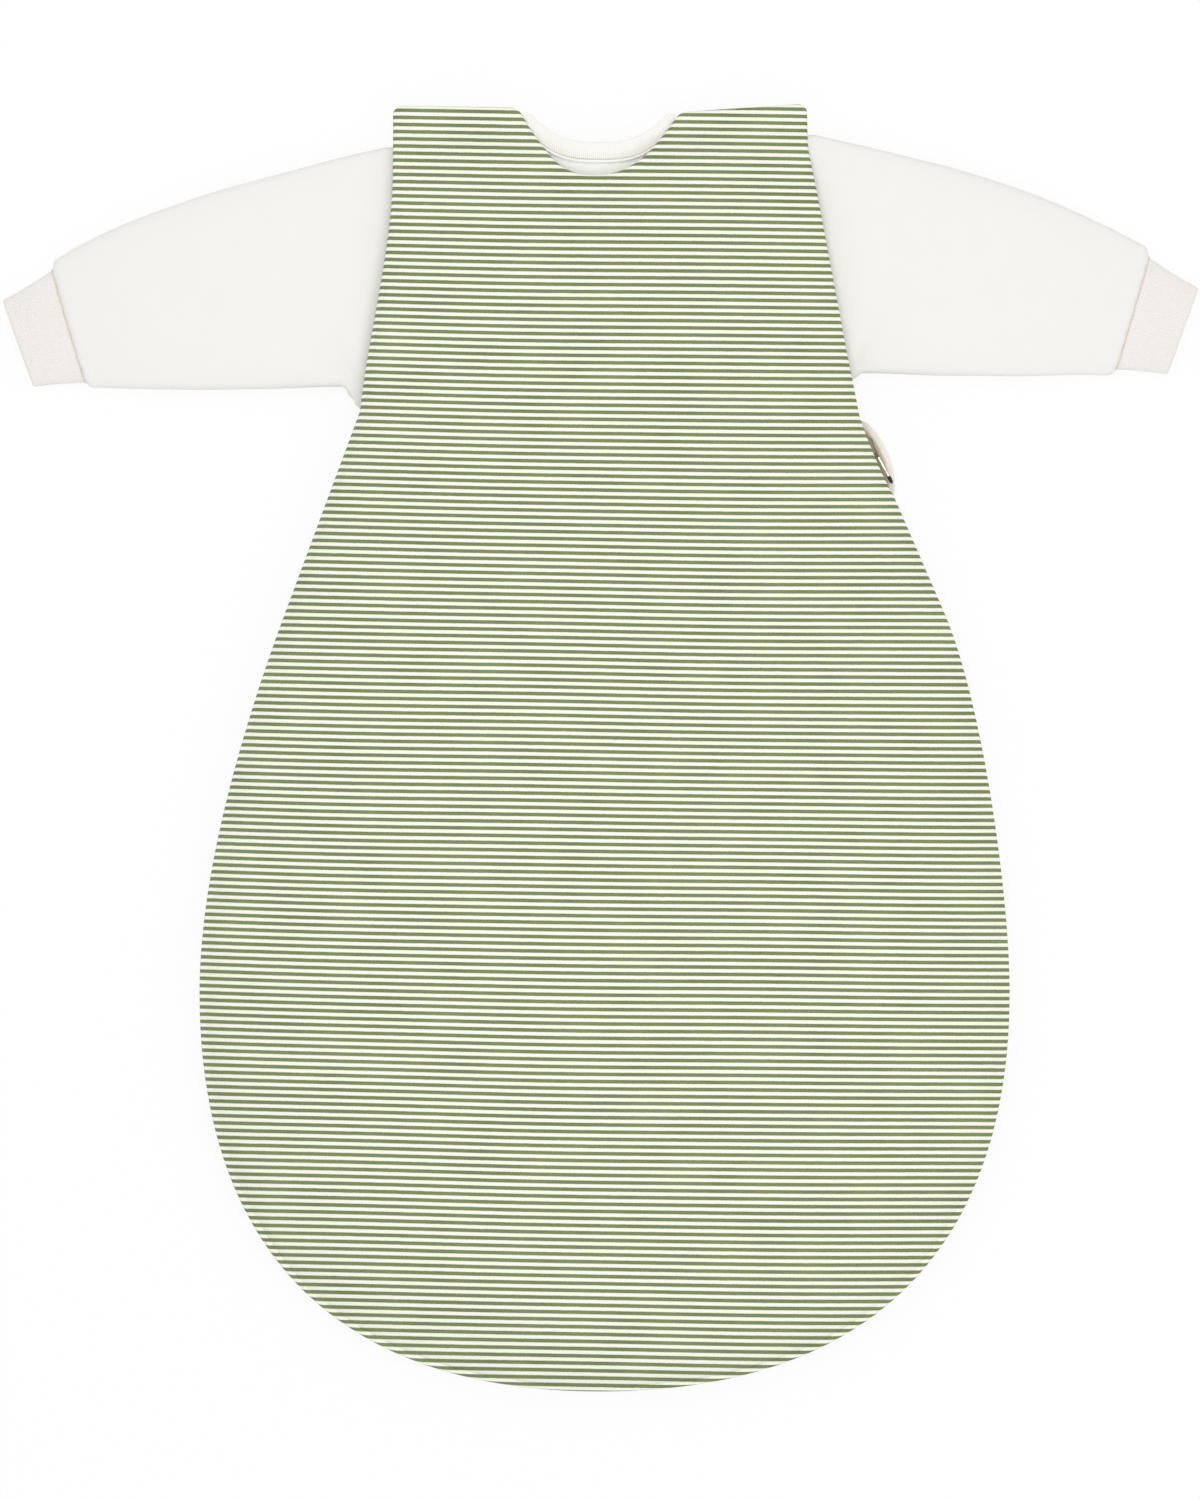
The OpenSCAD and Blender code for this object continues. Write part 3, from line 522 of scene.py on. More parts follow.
def wing_patch(side, foot, depth, inset, rows, columns):
    """One shoulder of a panel, from the foot of its neckline to the shoulder edge."""
    rim = Rim(side, inset)
    x = np.linspace(0, NECK_HALF, 400)
    neck = np.stack([x, neckline_y(x, depth)], axis=1)
    neck = neck + inset * right_of(unit(np.gradient(neck, axis=0)))
    neck[0] = (0.0, foot)
    corner = max(0.6, STRAP_CORNER - inset)
    top = TOP - inset
    marks = np.linspace(0, 1, rows) * neck[neck[:, 1] < top - corner][-1, 0]
    y = np.interp(marks, neck[:, 0], neck[:, 1])
    y[0] = foot
    turn = np.linspace(0, np.pi / 2, 6)[1:]
    y = np.concatenate([y[:-1], [top - corner], top - corner + corner * np.sin(turn)])
    rounding = np.concatenate([np.zeros(len(y) - 5), corner * (1 - np.cos(turn))])
    neck_x = np.interp(y, neck[:, 1], neck[:, 0]) + rounding
    neck_x[0] = 0.0
    edge_x = rim.half(y) - rounding
    u = across(2 * columns - 1)[columns - 1:]
    if side == SEAM:
        u = u[::-1]
    plan = np.stack([SIGN[side] * mix(neck_x[:, None], edge_x[:, None], u[None, :]),
                     np.broadcast_to(y[:, None], (len(y), columns))], axis=-1)
    outwards = np.clip((np.abs(plan[..., 0]) - NECK_HALF) / (SHOULDER_HALF - NECK_HALF), 0, 1)
    plan[..., 1] -= SHOULDER_DIP[side] * (1 - outwards) * ease((plan[..., 1] - TOP + 26) / 26)
    last = len(y) - 1
    path = ([(j, columns - 1) for j in range(last + 1)] + [(last, i) for i in range(columns - 2, -1, -1)]
            + [(j, 0) for j in range(last - 1, -1, -1)])
    path = tuple(np.array(path).T)
    out = right_of(np.gradient(plan[path], axis=0))
    outer = rim.outward(y[:1])[0] * [SIGN[side], 1]
    out[0], out[-1] = ((0.0, 1.0), outer) if side == SEAM else (outer, (0.0, 1.0))
    return Patch(plan, path, unit(out))


FLAT_Z = 18.0                         # the height at which the cloth lies unstretched
FULLNESS = 3066.0                     # the rise that would double it


def stripe_map(plan):
    """Cloth coordinates of plan points: the stripes fall slightly to the right and wander a little."""
    cloth = bpy.context.scene.sleeping_bag_cloth
    x, y = plan[..., 0], plan[..., 1]
    sideways, up = x / 200, y / 350
    v = y + math.tan(cloth.stripe_tilt) * x - 1000 * cloth.stripe_bow * sideways ** 2
    v = v + 1000 * cloth.stripe_stretch * (up ** 2 - 0.5 * up ** 3) + 0.5 * ease((y + 150) / 350)
    v = v - 0.3 * (np.maximum(0, y - 235) / 100) ** 2
    v = v + 1000 * cloth.stripe_wander * (np.sin(x / 54 + y / 60 - 1.2) + 0.4 * np.sin(x / 27 - y / 75))
    return np.stack([x, v], axis=-1)


def rolled_skin(skin, patch, outer, inner, front):
    """A panel's outer face, whose edge rolls over towards its inner face and turns in behind."""
    plan, path, away = patch
    z = outer(plan[..., 0], plan[..., 1])
    cloth = stripe_map(plan * (1 + (z - FLAT_Z) / FULLNESS)[..., None])
    net = skin.add(np.dstack([plan, z]), cloth)
    skin.net(net, flip=not front)
    x, y = plan[path].T
    fall = np.abs(outer(x, y) - inner(x, y)) * (-1.0 if front else 1.0)
    profile = [(ROLL * math.sin(a), (1 - math.cos(a)) / 2, ROLL * a) for a in np.linspace(0, math.pi, 9)[1:]]
    profile += [(-TURNING * t, 1.0, ROLL * math.pi + TURNING * t) for t in (0.5, 1.0)]
    line = net[path]
    for out, share, run in profile:
        points = np.column_stack([plan[path] + out * away, z[path] + share * fall])
        fresh = skin.add(points, cloth[path] + run * away)
        skin.strip(line, fresh, flip=not front)
        line = fresh


def plain_skin(skin, patch, height, drop, front):
    """A lining's face, which ends in a narrow border that falls to another height."""
    plan, path, away = patch
    net = skin.add(np.dstack([plan, height(plan[..., 0], plan[..., 1])]), plan)
    skin.net(net, flip=front)
    target = plan[path] + away
    edge = skin.add(np.column_stack([target, drop(target[:, 0], target[:, 1])]), target)
    skin.strip(net[path], edge, flip=front)


def pillow_skin(skin, patch, low, high):
    """A closed filling between two heights."""
    plan = patch.plan
    lower = low(plan[..., 0], plan[..., 1])
    upper = np.maximum(high(plan[..., 0], plan[..., 1]), lower + 0.3)
    top = skin.add(np.dstack([plan, upper]), plan)
    bottom = skin.add(np.dstack([plan, lower]), plan)
    skin.net(top)
    skin.net(bottom, flip=True)
    at = border(*top.shape)
    bulge = skin.add(np.column_stack([plan[at], (upper[at] + lower[at]) / 2]), plan[at])
    bulge[-1] = bulge[0]
    skin.strip(top[at], bulge)
    skin.strip(bulge, bottom[at])


# ---- tubes ----

def ring(a, b, z, h, inset=0.0, count=120, flat=0.86, edge=0.7):
    """A flattened ring round the line between two plan points, standing on height z."""
    angle = np.linspace(0, 2 * np.pi, 6 * count, endpoint=False)
    half = np.linalg.norm(b - a) / 2
    along = (b - a) / (2 * half)
    c, s = np.cos(angle), np.sin(angle)
    across_ring = (half - inset) * np.sign(c) * np.abs(c) ** flat
    up = (h / 2 - inset) * np.sign(s) * np.abs(s) ** edge
    line = np.column_stack([(a + b) / 2 + across_ring[:, None] * along, z + h / 2 + up])
    line = np.concatenate([line, line[:1]])
    run = distances(line)
    s = np.linspace(0, run[-1], count, endpoint=False)
    return between(run, line, s), s


def outward_of(rows):
    """Unit normals of a closed tube of rings, pointing away from each ring's middle."""
    around = np.roll(rows, -1, axis=1) - np.roll(rows, 1, axis=1)
    along = np.gradient(rows, axis=0)
    n = np.cross(around, along)
    n /= np.maximum(np.linalg.norm(n, axis=-1, keepdims=True), 1e-9)
    middle = rows.mean(axis=1, keepdims=True)
    side = np.sign(((rows - middle) * n).sum(axis=-1).mean())
    return n * side


# ---- sleeves ----

SLEEVE_OUT = 4.0
SLEEVE_LENGTH, SLEEVE_SLOPE, SLEEVE_END = 194.0, math.radians(18.78), 67.0
SLEEVE_RISE = (5.1, 8.0)              # how far a sleeve's top edge springs above its head
ROOT_TOP_DROP, ROOT_LOW_DROP = (27.0, 23.0), (152.0, 145.0)
ARMHOLE_Y = (TOP - 40.0, TOP - 24.0)
ROOT_Z, ROOT_H, HEAD_Z, HEAD_H = 6.4, 12.0, 8.8, 8.6
CUFF_Z, CUFF_H, CUFF_LENGTH, CUFF_WIDTH, RIB = 0.6, 11.5, 30.0, 51.0, 1.8
SLEEVE_IN = 13.7                      # how far a sleeve's head reaches into the bag
GUSSET_DROP, GUSSET_REACH = (15.0, 4.5), (12.0, 7.0)   # the fold of spare cloth under each arm


def root_top(side, out):
    y = TOP - ROOT_TOP_DROP[side]
    return np.array([half_width(side, min(y, ARMHOLE_Y[side])) + out, y])


def root_low(side, out):
    y = TOP - ROOT_LOW_DROP[side]
    return np.array([half_width(side, y) + out, y])


def sleeve_top(side):
    return root_top(side, SLEEVE_OUT) + np.array([0, SLEEVE_RISE[side]])


def sleeve_end(side):
    return sleeve_top(side) + SLEEVE_LENGTH * np.array([math.cos(SLEEVE_SLOPE), -math.sin(SLEEVE_SLOPE)])


def sleeve_end_low(side):
    top = sleeve_end(side)
    return np.array([top[0] - SLEEVE_END * 0.3, root_low(side, 0)[1] - 1])


def flipped(side, p):
    return np.array([SIGN[side] * p[0], p[1]])


def gusset(side, out):
    """How far the spare cloth under the arm hangs down, at a distance outside the bag's edge."""
    share = ease((out + SLEEVE_IN) / 11) * max(0.0, 1 - max(0.0, out) / GUSSET_REACH[side]) ** 0.9
    return np.array([0, -GUSSET_DROP[side] * float(share)])


def sleeve_ring(side, t):
    """A ring's ends, height and thickness at a share of the sleeve's length; below 0 is the sleeve's head."""
    if t < 0:
        out = mix(SLEEVE_OUT, -SLEEVE_IN, min(1.0, -t))
        share = (out + 14) / 18
        rise = np.array([0, SLEEVE_RISE[side] * float(ease((out + 9) / 8))])
        top, low = root_top(side, out) + rise, root_low(side, out) + gusset(side, out)
        return flipped(side, top), flipped(side, low), mix(HEAD_Z, ROOT_Z, share), mix(HEAD_H, ROOT_H, share)
    a, d = sleeve_top(side), sleeve_end(side)
    top = bezier((a, a + [65, -15], d + [-56, 33], d), t)
    low = mix(root_low(side, SLEEVE_OUT), sleeve_end_low(side), t)
    low = low + np.array([0, -1.4]) * math.sin(math.pi * t) ** 2 + gusset(side, SLEEVE_OUT + 170 * t)
    h = mix(ROOT_H, CUFF_H + 1.5, t) + 5 * math.sin(math.pi * t)
    pinch = 1 - math.sqrt(1 - min(1.0, max(0.0, (t - 0.975) / 0.025)) ** 2)
    seam = low - top
    top, low = top + seam * 0.055 * pinch, low - seam * 0.04 * pinch
    return flipped(side, top), flipped(side, low), mix(ROOT_Z, CUFF_Z, t) + 0.3 * pinch, h - 1.4 * pinch


def cuff_ring(side, t):
    seam = sleeve_end_low(side) - sleeve_end(side)
    s0, s1 = sleeve_end(side) + 0.05 * seam, sleeve_end_low(side) - 0.045 * seam
    across_cuff = (s1 - s0) / np.linalg.norm(s1 - s0)
    out = np.array([-across_cuff[1], across_cuff[0]])
    spare = np.linalg.norm(s1 - s0) - CUFF_WIDTH
    m0 = s0 + CUFF_LENGTH * out + across_cuff * spare * 0.6
    m1 = s1 + (CUFF_LENGTH - 3) * out - across_cuff * spare * 0.4
    lead = 0.1 * out
    waist = math.sin(math.pi * min(1, t)) ** 0.8 * across_cuff
    a = mix(s0, m0, t) + lead + 0.7 * waist
    b = mix(s1, m1, t) + lead - 0.3 * waist
    return flipped(side, a), flipped(side, b)


# ---- finishes ----

class Nodes:
    """A node tree in the making."""

    def __init__(self, owner):
        owner.use_nodes = True
        self.tree = owner.node_tree
        self.tree.nodes.clear()

    def node(self, kind, inputs=None, **values):
        made = self.tree.nodes.new(kind)
        for key, value in values.items():
            setattr(made, key, value)
        for key, value in (inputs or {}).items():
            self.put(made.inputs[key], value)
        return made

    def put(self, socket, value):
        if isinstance(value, bpy.types.NodeSocket):
            self.tree.links.new(value, socket)
        else:
            socket.default_value = value

    def math(self, operation, a, b=0.0, c=0.0):
        return self.node("ShaderNodeMath", {0: a, 1: b, 2: c}, operation=operation).outputs[0]

    def add(self, a, b):
        return self.math("ADD", a, b)

    def times(self, a, b):
        return self.math("MULTIPLY", a, b)

    def sine(self, value, period):
        return self.math("SINE", self.times(value, 2 * math.pi / period))

    def seen(self):
        """1 for what the camera, a reflection or a clear piece sees."""
        path = self.node("ShaderNodeLightPath")
        total = path.outputs["Is Camera Ray"]
        for name in ("Is Glossy Ray", "Is Transmission Ray"):
            total = self.math("MAXIMUM", total, path.outputs[name])
        return total

    def mixed(self, output, share, low, high):
        """Ends the tree in a mix of two shaders."""
        both = self.node("ShaderNodeMixShader", {0: share, 1: low.outputs[0], 2: high.outputs[0]})
        self.node(output, {0: both.outputs[0]})


class Finish(Nodes):
    """A material in the making."""

    def __init__(self, name):
        self.material = bpy.data.materials.new(name)
        super().__init__(self.material)
        self.surface = self.node("ShaderNodeBsdfPrincipled")
        self.node("ShaderNodeOutputMaterial", {0: self.surface.outputs[0]})

    def ramp(self, value, low, high, to_low=0.0, to_high=1.0):
        return self.node("ShaderNodeMapRange", {"Value": value, "From Min": low, "From Max": high,
                                                "To Min": to_low, "To Max": to_high},
                         interpolation_type="SMOOTHSTEP").outputs[0]

    def colour(self, factor, a, b):
        return self.node("ShaderNodeMix", {0: factor, 6: a, 7: b}, data_type="RGBA").outputs[2]

    def cloth_map(self):
        uv = self.node("ShaderNodeUVMap", uv_map="cloth").outputs[0]
        split = self.node("ShaderNodeSeparateXYZ", {"Vector": uv})
        return uv, split.outputs[0], split.outputs[1]

    def place(self):
        return self.node("ShaderNodeTexCoord").outputs["Object"]

    def cloudy(self, where, scale, detail=2.0, rough=0.5, twist=0.0):
        return self.node("ShaderNodeTexNoise", {"Vector": where, "Scale": scale, "Detail": detail,
                                                "Roughness": rough, "Distortion": twist}).outputs[0]

    def bump(self, height, strength, distance, under=None):
        inputs = {"Height": height, "Strength": strength, "Distance": distance}
        if under is not None:
            inputs["Normal"] = under
        return self.node("ShaderNodeBump", inputs).outputs[0]

    def knit(self, u, v, wale, course):
        """The relief of plain knitting: columns of small leaning loops."""
        column = self.math("PINGPONG", self.add(u, 1.0), wale / 2)
        lean = self.times(column, 1.3 * 2 * math.pi / course)
        loop = self.math("SINE", self.add(self.times(v, 2 * math.pi / course), lean))
        return self.math("MULTIPLY_ADD", loop, 0.35, self.times(self.sine(column, wale), 0.8))

    def set(self, **values):
        for key, value in values.items():
            self.put(self.surface.inputs[key.replace("_", " ")], value)
        return self.material

    def dress(self, base, normal, cloud, rough, sheen=0.0, nap=0.6, shine=0.25):
        """Sets the colour, the relief, a roughness that follows the clouds, and the nap of cloth."""
        return self.set(Base_Color=base, Normal=normal, Roughness=self.ramp(cloud, 0.3, 0.7, *rough),
                        Sheen_Weight=sheen, Sheen_Roughness=nap, Specular_IOR_Level=shine)


def rgba(colour):
    return (*colour, 1.0)


def shade(colour, factor):
    return (*(min(1.0, c * factor) for c in colour), 1.0)


WALE, COURSE, RIB_COURSE = 0.0010, 0.0008, 0.0007     # widths and heights of the knitted loops, in metres


def knit_finish(name, colour, wale, course, relief, sheen):
    """Plain jersey in one colour: loops, slight cloudiness and a soft nap."""
    finish = Finish(name)
    uv, u, v = finish.cloth_map()
    cloud = finish.cloudy(uv, 55.0, 3.0)
    grain = finish.cloudy(uv, 1400.0)
    tone = finish.add(finish.times(cloud, 0.6), finish.times(grain, 0.4))
    base = finish.colour(tone, shade(colour, 0.98), shade(colour, 1.02))
    normal = finish.bump(finish.knit(u, v, wale, course), relief, 0.0002)
    normal = finish.bump(grain, 0.12, 0.0003, normal)
    return finish.dress(base, normal, cloud, (0.86, 0.96), sheen)


def striped_finish(cloth):
    """Yarn-dyed stripes in plain jersey, with the slightly ragged edges of knitted rows."""
    finish = Finish("striped_jersey")
    uv, u, v = finish.cloth_map()
    pitch, limit, wale = cloth.stripe_pitch, cloth.green_share / 2, 0.0009
    fuzz = finish.cloudy(uv, 1100.0, 3.0, 0.6)
    slow = finish.cloudy(uv, 130.0)
    column = finish.math("PINGPONG", finish.add(u, 1.0), wale / 2)
    ragged = finish.add(finish.times(finish.math("SUBTRACT", fuzz, 0.5), 0.00035),
                        finish.times(finish.math("SUBTRACT", slow, 0.5), 0.00018))
    ragged = finish.add(ragged, finish.times(column, 0.15))
    start = 100 * pitch + cloth.stripe_start
    at = finish.math("DIVIDE", finish.add(finish.add(v, ragged), start), pitch)
    wave = finish.math("PINGPONG", at, 0.5)
    edge = 0.00011 / pitch
    green = finish.ramp(wave, limit + edge, limit - edge)
    cloud = finish.cloudy(uv, 38.0, 3.0)
    heather = finish.cloudy(uv, 1000.0, 3.0, 0.9)
    tone = finish.add(finish.times(cloud, 0.35), finish.times(heather, 0.65))
    tone = finish.ramp(tone, 0.3, 0.7)
    leaf = finish.colour(tone, shade(cloth.green, 0.76), shade(cloth.green, 1.24))
    milk = finish.colour(tone, shade(cloth.ivory, 0.965), shade(cloth.ivory, 1.03))
    fringe = finish.ramp(wave, limit + 0.00075 / pitch, limit + 0.00015 / pitch)
    base = finish.colour(green, finish.colour(fringe, milk, rgba(cloth.cream)), leaf)
    normal = finish.bump(finish.knit(u, v, wale, pitch / 6), 0.3, 0.0002)
    normal = finish.bump(fuzz, 0.15, 0.0003, normal)
    return finish.dress(base, normal, cloud, (0.88, 0.97), 0.06, shine=0.2)


def fleece_finish(cloth):
    """Soft filling: tufts of tangled strands."""
    finish = Finish("wadding_fleece")
    where = finish.place()
    strand = finish.cloudy(where, 320.0, 6.0, 0.75, 1.6)
    tuft = finish.cloudy(where, 60.0, 4.0, 0.6)
    base = finish.colour(tuft, shade(cloth.wadding, 0.93), rgba(cloth.wadding))
    normal = finish.bump(tuft, 0.5, 0.003, finish.bump(strand, 0.7, 0.0012))
    return finish.dress(base, normal, tuft, (0.9, 1.0), 0.4, 0.5, 0.2)


def neck_rib_painted_light_finish(cloth):
    """Fine rib whose furrows next to the seam have painted shade, a tan mixed in from the thread's colour."""
    finish = Finish("neck_rib_painted_light_loops")
    uv, u, v = finish.cloth_map()
    wave = finish.sine(u, cloth.rib_pitch)
    # painted shade in the furrows near the seam
    low = finish.times(finish.ramp(wave, 0.1, 0.9), finish.ramp(v, 0.0042, 0.0014))
    base = finish.colour(finish.times(low, 0.5), rgba(cloth.neck_rib_painted_light), rgba(cloth.thread))
    normal = finish.bump(finish.knit(u, v, cloth.rib_pitch / 2, RIB_COURSE), 0.3, 0.0002)
    return finish.dress(base, normal, finish.cloudy(uv, 300.0, 3.0), (0.86, 0.96), 0.1)


def facing_painted_shade_finish(cloth):
    """The garage's jersey: pale at its outer fold, then painted shade towards the zip, tan and further in a
    darker tan, by the distance from the fold.
    """
    finish = Finish("garage_facing_painted_shade_knit")
    uv, u, v = finish.cloth_map()
    cloud = finish.cloudy(uv, 500.0, 3.0)
    deep = finish.add(v, finish.times(finish.math("SUBTRACT", cloud, 0.5), 0.0008))
    # painted shade: the tan, and the darker tan further in, stand for the shade in the gap by the zip
    base = finish.colour(finish.ramp(deep, 0.0024, 0.0042), rgba(cloth.lining), rgba(cloth.facing_painted_shade))
    base = finish.colour(finish.ramp(deep, 0.0050, 0.0070), base, shade(cloth.facing_painted_shade, 0.88))
    normal = finish.bump(finish.knit(u, v, WALE, COURSE), 0.25, 0.0002)
    return finish.dress(base, normal, cloud, (0.85, 0.95), 0.1)


def tape_finish(zipper):
    """Woven tape: a fine herringbone along its length."""
    finish = Finish("zip_tape_weave")
    uv, u, v = finish.cloth_map()
    twill = finish.sine(finish.add(u, finish.math("PINGPONG", finish.add(v, 1.0), 0.0008)), 0.00055)
    weave = finish.math("MULTIPLY_ADD", twill, 0.6, finish.times(finish.sine(v, 0.0004), 0.4))
    colour = zipper.tape_colour
    base = finish.colour(finish.ramp(weave, -1, 1), shade(colour, 0.9), shade(colour, 1.04))
    cloud = finish.cloudy(uv, 240.0, 3.0)
    return finish.dress(base, finish.bump(weave, 0.5, 0.00012), cloud, (0.72, 0.86), 0.15, 0.5, 0.3)


def nylon_finish(name, colour, rough):
    finish = Finish(name)
    cloud = finish.cloudy(finish.place(), 900.0, 3.0)
    base = finish.colour(cloud, shade(colour, 0.93), shade(colour, 1.05))
    return finish.dress(base, finish.bump(cloud, 0.15, 0.0001), cloud, (rough - 0.06, rough + 0.1), shine=0.5)


def metal_finish(name, colour, rough, brushed=0.0):
    """Plated metal with faint rub marks and a slightly uneven polish."""
    finish = Finish(name)
    where = finish.place()
    cloud = finish.cloudy(where, 160.0, 4.0, 0.6)
    scratch = finish.node("ShaderNodeMapping", {"Vector": where, "Scale": (9000.0, 700.0, 2200.0)})
    lines = finish.cloudy(scratch.outputs[0], 1.0, 2.0, 0.7)
    base = finish.colour(cloud, shade(colour, 0.94), shade(colour, 1.03))
    polish = finish.ramp(cloud, 0.3, 0.75, rough, rough + 0.09)
    polish = finish.add(polish, finish.times(lines, 0.05 + brushed))
    normal = finish.bump(lines, 0.04 + brushed * 0.5, 0.00005)
    return finish.set(Base_Color=base, Metallic=1.0, Roughness=polish, Normal=normal)


def thread_finish(cloth):
    """Sewing thread with the twist of its plies."""
    finish = Finish("sewing_thread")
    ply = finish.cloudy(finish.place(), 2600.0, 3.0, 0.6)
    base = finish.colour(ply, shade(cloth.thread, 0.84), shade(cloth.thread, 1.08))
    return finish.dress(base, finish.bump(ply, 0.5, 0.0001), ply, (0.6, 0.8), 0.1, 0.5, 0.3)


# ---- settings ----

def metres(name, description, default, **limits):
    return FloatProperty(name=name, description=description, default=default, unit="LENGTH", **limits)


def fraction(name, description, default, low, high):
    return FloatProperty(name=name, description=description, default=default, min=low, max=high,
                         subtype="FACTOR")


def tint(name, description, default):
    return FloatVectorProperty(name=name, description=description, default=default, subtype="COLOR",
                               size=3, min=0.0, max=1.0)


class SLEEPINGBAG_PG_cloth(PropertyGroup):
    stripe_pitch: metres("Stripe Pitch", "Distance from one green stripe to the next", 0.00388, min=0.001)
    stripe_start: metres("Stripe Start", "Shift of the stripes along the bag", 0.00174)
    stripe_tilt: FloatProperty(name="Stripe Tilt", description="Angle by which the stripes fall to the right",
                               default=math.radians(0.9), subtype="ANGLE")
    stripe_bow: metres("Stripe Bow", "How far the stripes rise towards the sides", 0.0012)
    stripe_stretch: metres("Stripe Stretch", "How far the stripes are pulled down at the hem", 0.0028)
    stripe_wander: metres("Stripe Wander", "How far the stripes wander from a straight line", 0.00025)
    green_share: fraction("Green Share", "Share of the pitch that is green", 0.5, 0.1, 0.9)
    green: tint("Green", "Colour of the green stripes", (0.192, 0.250, 0.104))
    ivory: tint("Ivory", "Colour of the pale stripes", (0.965, 0.96, 0.945))
    cream: tint("Cream", "Colour of the pale stripes next to the green ones", (0.90, 0.89, 0.70))
    jersey: tint("Inner Jersey", "Colour of the inner bag and its sleeves", (0.872, 0.862, 0.832))
    lining: tint("Lining", "Colour of the outer bag's lining", (0.90, 0.87, 0.79))
    # The garage facing's colour is painted shade for the gap between the front's edge and the garage.
    facing_painted_shade: tint("Garage Facing", "Colour of the zip garage's cloth next to the zip", (0.62, 0.505, 0.355))
    rib: tint("Cuff Rib", "Colour of the cuffs", (0.865, 0.833, 0.800))
    # Painted light: the neckband's colour is lighter than the cuffs' rib to offset the shade in the neck
    # opening.
    neck_rib_painted_light: tint("Neck Rib", "Colour of the neckband", (0.95, 0.94, 0.90))
    # Painted light: the inner jersey made lighter for the inner back, whose neck opening lies in shade.
    pale_jersey: tint("Pale Jersey", "Colour of the jersey inside the neck opening", (0.98, 0.975, 0.955))
    wadding: tint("Wadding", "Colour of the filling", (0.93, 0.93, 0.91))
    thread: tint("Thread", "Colour of the sewing thread", (0.78, 0.70, 0.53))
    rib_pitch: metres("Rib Pitch", "Distance between two ribs of the cuffs", 0.0011, min=0.0005)
    rib_relief: metres("Rib Relief", "Height of the ribs", 0.0001)


class SLEEPINGBAG_PG_zip(PropertyGroup):
    coil_pitch: metres("Coil Pitch", "Distance between two teeth of one row", 0.0018, min=0.001)
    tape_colour: tint("Tape", "Colour of the woven tape", (0.86, 0.82, 0.70))
    coil_colour: tint("Coil", "Colour of the nylon teeth", (0.82, 0.79, 0.68))
    # Painted shade: the zip metal is darkened for the shade that the front's edge casts over the slider.
    metal_painted_shade_colour: tint("Zip Metal", "Colour of the slider and the stops", (0.10, 0.085, 0.065))
    pull_colour: tint("Pull Metal", "Colour of the pull tab", (0.66, 0.64, 0.60))
    # Painted reflection: the near-black tip stands for the dark that the tab's round end reflects.
    tip_painted_dark_colour: tint("Pull Tip", "Colour of the dipped end of the pull tab", (0.015, 0.012, 0.010))
    snap_colour: tint("Snap Metal", "Colour of the shoulder snaps", (0.72, 0.72, 0.73))
    resin_colour: tint("Snap Resin", "Colour of the inner bag's snaps", (0.88, 0.88, 0.85))


class SLEEPINGBAG_PG_stage(PropertyGroup):
    lens: FloatProperty(name="Lens", description="Focal length of the camera, in millimetres",
                        default=135.0, min=20.0)
    frame_height: metres("Frame Height", "Height of the camera's view at the bag", 0.8175)
    focus_height: metres("Object Height", "Height above the floor at which the frame is measured", 0.018)
    frame_middle: metres("Frame Middle", "How far the view's middle lies above the bag's", -0.0008)
    sky: FloatProperty(name="Sky", description="Strength of the even light from all round", default=0.68)
    key: FloatProperty(name="Key Light", description="Power of the large light above, in watts", default=13.5)
    fill: FloatProperty(name="Fill Light", description="Power of the smaller light opposite, in watts",
                        default=7.0)
    floor_glow: fraction("Floor Glow", "Share of the floor that is plain white to the camera", 0.91, 0.0, 1.0)


MADE = {}                             # slot and material of each finish made so far


def finish_of(name):
    """The slot and the material of a finish, made when it is first asked for."""
    if name not in MADE:
        cloth, zipper = bpy.context.scene.sleeping_bag_cloth, bpy.context.scene.sleeping_bag_zip
        slot, maker, *values = {
            "striped": ("striped_jersey", striped_finish, cloth),
            "jersey": ("inner_jersey", knit_finish, "inner_jersey_knit", cloth.jersey,
                       WALE, COURSE, 0.22, 0.12),
            # painted light: the inner jersey lightened for the shaded neck opening
            "pale_jersey": ("inner_jersey", knit_finish, "pale_jersey_knit", cloth.pale_jersey,
                            WALE, COURSE, 0.18, 0.1),
            "lining": ("lining_jersey", knit_finish, "lining_jersey_knit", cloth.lining,
                       WALE, COURSE, 0.28, 0.15),
            # painted shade towards the zip
            "facing_painted_shade": ("lining_jersey", facing_painted_shade_finish, cloth),
            "rib": ("rib_knit", knit_finish, "rib_knit_loops", cloth.rib,
                    cloth.rib_pitch / 2, RIB_COURSE, 0.3, 0.15),
            # painted light in the colour, painted shade in the furrows
            "neck_rib_painted_light": ("rib_knit", neck_rib_painted_light_finish, cloth),
            "thread": ("rib_knit", thread_finish, cloth),
            "wadding": ("wadding", fleece_finish, cloth),
            "tape": ("zip_tape", tape_finish, zipper),
            "coil": ("zip_coil", nylon_finish, "zip_coil_nylon", zipper.coil_colour, 0.34),
            "resin": ("snap_resin", nylon_finish, "snap_resin_gloss", zipper.resin_colour, 0.28),
            # painted shade: darkened metal
            "zip_metal": ("zip_metal", metal_finish, "zip_metal_plate", zipper.metal_painted_shade_colour, 0.12),
            "pull_metal": ("zip_metal", metal_finish, "pull_metal_polish", zipper.pull_colour, 0.08),
            # painted dark reflection
            "pull_tip": ("zip_metal", nylon_finish, "pull_tip_dip", zipper.tip_painted_dark_colour, 0.6),
            "snap_metal": ("snap_metal", metal_finish, "snap_metal_satin", zipper.snap_colour, 0.26, 0.10),
        }[name]
        MADE[name] = slot, maker(*values)
    return MADE[name]


# ---- stage ----

